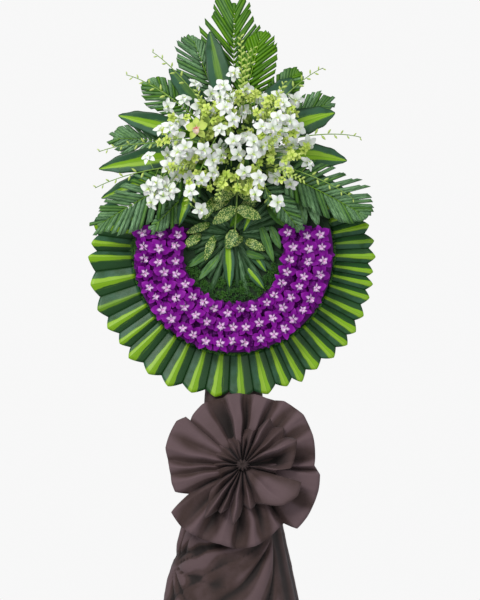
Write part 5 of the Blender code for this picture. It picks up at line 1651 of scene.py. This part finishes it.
def rosette(centre, axes, name, node, table, rows, height_at, span, soften, flat, area):
    """A gathered ring of cloth whose folds meet at the hub."""
    right, up, front = axes
    lowest, highest = span
    cloth = bpy.context.scene.wreath_cloth
    hub = PEG_RADIUS + GAP
    columns = FOLD_COLUMNS * len(table)
    painted_shade_levels = []
    bm = new_mesh()

    def place(u, v):
        turn, radius, *heights = eased(table, (u + 1) / 2 * len(table) % len(table))
        reach = hub + (radius - hub) * v
        drift = Vector((1.7 * math.cos(math.radians(turn)), 1.7 * math.sin(math.radians(turn)), 9 * lowest))
        middle = (lowest + highest) / 2
        keep = 1.15 if -20 < math.remainder(turn, 360) < 30 else min(1.15, 0.90 + 0.9 * noise.noise(drift))
        # Painted shade and highlight: the tone follows the fold's height, pales towards the thin rim where
        # light passes, and darkens towards the hub
        level = min(max((heights[0] - lowest) / (highest - lowest), 0.0), 1.0)
        heights[0] = middle + (heights[0] - middle) * keep
        level = level + (0.62 - level) * soften * v**5 + 0.46 * (1 - soften) * v**5
        painted_shade_levels.append(level * min(1.0, 0.02 + reach / 0.085))
        stray = noise.noise(Vector((turn / 38, 3.0 * v, radius)))
        angle = math.radians(turn + 3 * stray * math.sin(math.pi * v))
        out = math.cos(angle) * right + math.sin(angle) * up
        spot = centre + reach * out + height_at(v, heights) * front
        crease = 0.0040 * unrest(spot, 0.060, 2.0) + 0.0020 * unrest(spot, 0.022, 6.0)
        crease += 0.0008 * unrest(spot, 0.009)
        return spot + front * (crease * min(1.0, 4 * v))

    made = shaped_grid(bm, columns, rows, place, 0, 0.5)
    shade = bm.verts.layers.float["tone"]
    for vert, level in zip(made, painted_shade_levels):
        vert[shade] = level
    bmesh.ops.remove_doubles(bm, verts=bm.verts, dist=1e-5)
    piece = make_piece(name, bm, ("brown_cloth_finish",), [node], cloth.thickness)


def build_bow():
    """The two fans of folds on the peg, and the knot over their hub."""
    front = Vector((0.0, -math.cos(BOW_LEAN), math.sin(BOW_LEAN)))
    up = Vector((0.0, math.sin(BOW_LEAN), math.cos(BOW_LEAN)))
    axes = (Vector((1.0, 0.0, 0.0)), up, front)
    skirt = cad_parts["skirt"]
    solid = bmesh.new()
    solid.from_mesh(skirt.data)
    bmesh.ops.transform(solid, matrix=skirt.matrix_world, verts=solid.verts)
    tree = BVHTree.FromBMesh(solid)
    solid.free()
    surface, _, _, _ = tree.ray_cast(Vector((BOW_CENTRE[0], 0.0, BOW_CENTRE[1])) + 0.4 * front, -front)
    centre = surface + BOW_LIFT * front

    bm = new_mesh()
    peg = [surface + 2 * GAP * front, centre + (PEG_END - 0.012) * front]
    tube(bm, peg, [PEG_RADIUS - GAP / 2] * 2, 10, 0, 0.5)
    lean = Matrix.Rotation(-BOW_LEAN, 4, "X")
    place = Matrix.Translation(centre + (PEG_END - 0.007) * front) @ lean
    wide, deep, high = KNOT_SIZE
    made = bmesh.ops.create_uvsphere(bm, u_segments=64, v_segments=20, radius=1.0)
    for vert in made["verts"]:
        x, y, z = vert.co
        across, around = math.hypot(x, z), math.atan2(z, x)
        gather = KNOT_PLEAT * math.sin(11 * around + 0.8 * math.sin(2 * around)) * across
        dimple = 0.55 * math.exp(-((across / 0.35) ** 2))
        vert.co = place @ Vector((x * wide * (1 + gather), y * deep * (1 - dimple), z * high * (1 + gather)))
        # Painted shade: a low tone, lowest in the creases of the gathers, paints the knot dark
        vert[bm.verts.layers.float["tone"]] = 0.22 + 0.20 * gather / KNOT_PLEAT
    dress_faces(faces_round(made["verts"]), 0)
    make_piece("bow_knot_gathers", bm, ("brown_cloth_finish",), ["bow_knot"])

    def back_height(v, heights):
        return 0.004 * v + heights[0] * min(1.0, 0.15 + 1.5 * v)

    def front_height(v, heights):
        middle, rim = heights
        if v < 0.5:
            return 0.012 + (middle - 0.012) * math.sin(math.pi * v)
        share = 2 * v - 1
        return middle + (rim - middle) * share * share * (3 - 2 * share)

    folds = (centre, axes, "bow_back_cloth", "bow_back_folds", BACK_FOLDS, 18, back_height, BACK_SPAN)
    rosette(*folds, soften=0.3, flat=(0.50, 0.50), area=0.20)
    loops = (centre, axes, "bow_front_cloth", "bow_front_loops", FRONT_LOOPS, 16, front_height, FRONT_SPAN)
    rosette(*loops, soften=0.9, flat=(0.36, 0.36), area=0.125)


# The stage


# The photograph's middle, from which it was taken square on
CAMERA_X = 0.0195
CAMERA_Z = 1.008


def add_light(name, size, place, aim, power, tint):
    data = bpy.data.lights.new(name, "AREA")
    data.size = size
    data.energy = power
    data.color = tint
    lamp = link_object(name, data)
    lamp.location = place
    lamp.rotation_euler = (Vector(aim) - Vector(place)).to_track_quat("-Z", "Y").to_euler()


def build_stage():
    """The floor, three soft lights, a pale backdrop and the camera at the photograph's height."""
    stage = bpy.context.scene.wreath_stage
    bm = bmesh.new()
    bmesh.ops.create_circle(bm, cap_ends=True, segments=96, radius=3.0)
    mesh = bpy.data.meshes.new("floor")
    bm.to_mesh(mesh)
    bm.free()
    mesh.materials.append(floor_finish(stage.floor))
    floor = link_object("floor", mesh)
    floor.location.z = -0.0005
    floor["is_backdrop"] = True

    add_light("key_light", 1.6, (-1.7, -2.6, 3.0), (0.0, 0.0, 1.2), stage.key_power, (1.0, 0.99, 0.97))
    add_light("fill_light", 2.2, (2.4, -2.8, 1.7), (0.0, 0.0, 1.0), stage.fill_power, (0.96, 0.98, 1.0))
    add_light("rim_light", 1.4, (0.8, 2.4, 2.8), (0.0, 0.0, 1.2), 0.8 * stage.fill_power, (1.0, 1.0, 1.0))

    world = bpy.data.worlds.new("pale_studio")
    world.use_nodes = True
    tree = world.node_tree
    ambient = tree.nodes["Background"]
    ambient.inputs["Color"].default_value = (0.96, 0.98, 1.0, 1.0)
    ambient.inputs["Strength"].default_value = 0.52
    seen = tree.nodes.new("ShaderNodeBackground")
    seen.inputs["Color"].default_value = (*stage.sky, 1.0)
    rays = tree.nodes.new("ShaderNodeLightPath")
    both = tree.nodes.new("ShaderNodeMixShader")
    tree.links.new(rays.outputs["Is Camera Ray"], both.inputs[0])
    tree.links.new(ambient.outputs[0], both.inputs[1])
    tree.links.new(seen.outputs[0], both.inputs[2])
    tree.links.new(both.outputs[0], tree.nodes["World Output"].inputs["Surface"])
    bpy.context.scene.world = world
    bpy.context.scene.view_settings.view_transform = "Standard"

    data = bpy.data.cameras.new("camera")
    data.lens = stage.lens
    data.sensor_width = 36.0
    camera = link_object("camera", data)
    camera.location = (CAMERA_X, -stage.distance, CAMERA_Z)
    camera.rotation_euler = (math.radians(90), 0.0, 0.0)
    bpy.context.scene.camera = camera


# Operators, panel and registration


class WREATH_OT_stand(bpy.types.Operator):
    """Give the timber stand, the board and the foam their finishes"""

    bl_idname = "wreath.stand"
    bl_label = "Stand and base"

    def execute(self, context):
        for name in ("leg_front_left", "leg_front_right", "leg_back", "front_rail", "mast", "head_block"):
            dress_node(name, "timber_finish")
        dress_node("back_board", "green_board_finish")
        dress_node("foam_disc", "dry_foam_finish")
        dress_node("foam_block", "wet_foam_finish")
        return {"FINISHED"}


class WREATH_OT_skirt(bpy.types.Operator):
    """Hang the brown skirt over the stand"""

    bl_idname = "wreath.skirt"
    bl_label = "Skirt"

    def execute(self, context):
        build_skirt()
        return {"FINISHED"}


class WREATH_OT_bow(bpy.types.Operator):
    """Gather the brown bow and its knot"""

    bl_idname = "wreath.bow"
    bl_label = "Bow"

    def execute(self, context):
        build_bow()
        return {"FINISHED"}


class WREATH_OT_ruff(bpy.types.Operator):
    """Fold the striped leaves round the rim"""

    bl_idname = "wreath.ruff"
    bl_label = "Ruff"

    def execute(self, context):
        build_ruff()
        return {"FINISHED"}


class WREATH_OT_purple_orchids(bpy.types.Operator):
    """Set the purple orchids in their horseshoe"""

    bl_idname = "wreath.purple_orchids"
    bl_label = "Purple orchids"

    def execute(self, context):
        build_band()
        return {"FINISHED"}


class WREATH_OT_fronds(bpy.types.Operator):
    """Fan out the palm fronds"""

    bl_idname = "wreath.fronds"
    bl_label = "Palm fronds"

    def execute(self, context):
        for name in FRONDS:
            build_frond(name)
        return {"FINISHED"}


class WREATH_OT_broad_leaves(bpy.types.Operator):
    """Put the broad striped leaves between the fronds"""

    bl_idname = "wreath.broad_leaves"
    bl_label = "Broad leaves"

    def execute(self, context):
        for name in BROAD_LEAVES:
            build_broad_leaf(name)
        return {"FINISHED"}


class WREATH_OT_white_sprays(bpy.types.Operator):
    """Build the sprays of white orchids and the yellow-green orchid"""

    bl_idname = "wreath.white_sprays"
    bl_label = "White sprays"

    def execute(self, context):
        blooms = place_white_blooms()
        for name in SPRAYS:
            build_spray(name, blooms[name])
        build_green_orchid()
        return {"FINISHED"}


class WREATH_OT_inner_field(bpy.types.Operator):
    """Lay the palm strips, leaves and spotted sprig over the middle"""

    bl_idname = "wreath.inner_field"
    bl_label = "Inner field"

    def execute(self, context):
        build_inner_fan()
        build_inner_leaves()
        build_speckled_sprig()
        return {"FINISHED"}


class WREATH_OT_moss(bpy.types.Operator):
    """Tuck moss and small greens round the foam"""

    bl_idname = "wreath.moss"
    bl_label = "Moss and small greens"

    def execute(self, context):
        build_moss()
        build_block_greens()
        return {"FINISHED"}


class WREATH_OT_stage(bpy.types.Operator):
    """Set the floor, the lights and the camera"""

    bl_idname = "wreath.stage"
    bl_label = "Stage"

    def execute(self, context):
        build_stage()
        return {"FINISHED"}


STEPS = (
    WREATH_OT_stand,
    WREATH_OT_skirt,
    WREATH_OT_bow,
    WREATH_OT_ruff,
    WREATH_OT_purple_orchids,
    WREATH_OT_fronds,
    WREATH_OT_broad_leaves,
    WREATH_OT_white_sprays,
    WREATH_OT_inner_field,
    WREATH_OT_moss,
    WREATH_OT_stage,
)


class WREATH_PT_panel(bpy.types.Panel):
    """Sizes, colours and steps of the wreath"""

    bl_idname = "WREATH_PT_panel"
    bl_label = "Funeral wreath"
    bl_space_type = "VIEW_3D"
    bl_region_type = "UI"
    bl_category = "Wreath"

    def draw(self, context):
        layout = self.layout
        for key, title, _ in GROUPS:
            box = layout.box()
            box.label(text=title)
            group = getattr(context.scene, key)
            for name in group.__annotations__:
                box.prop(group, name)
        for step in STEPS:
            layout.operator(step.bl_idname)


GROUPS = (
    ("wreath_leaves", "Leaves", WreathLeafSettings),
    ("wreath_blooms", "Orchids", WreathBloomSettings),
    ("wreath_cloth", "Cloth", WreathClothSettings),
    ("wreath_colours", "Colours", WreathColourSettings),
    ("wreath_stage", "Stage", WreathStageSettings),
)


def register():
    for key, _, group in GROUPS:
        bpy.utils.register_class(group)
        setattr(bpy.types.Scene, key, bpy.props.PointerProperty(type=group))
    for step in STEPS:
        bpy.utils.register_class(step)
    bpy.utils.register_class(WREATH_PT_panel)


def unregister():
    bpy.utils.unregister_class(WREATH_PT_panel)
    for step in reversed(STEPS):
        bpy.utils.unregister_class(step)
    for key, _, group in reversed(GROUPS):
        delattr(bpy.types.Scene, key)
        bpy.utils.unregister_class(group)


def main():
    register()
    bpy.ops.wreath.stand()
    bpy.ops.wreath.skirt()
    bpy.ops.wreath.bow()
    bpy.ops.wreath.ruff()
    bpy.ops.wreath.purple_orchids()
    bpy.ops.wreath.fronds()
    bpy.ops.wreath.broad_leaves()
    bpy.ops.wreath.white_sprays()
    bpy.ops.wreath.inner_field()
    bpy.ops.wreath.moss()
    bpy.ops.wreath.stage()
    boxes = {"cad": CAD_BOX, "scene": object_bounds()}
    {key: [list(corner) for corner in box] for key, box in boxes.items()}


if __name__ == "__main__":
    main()
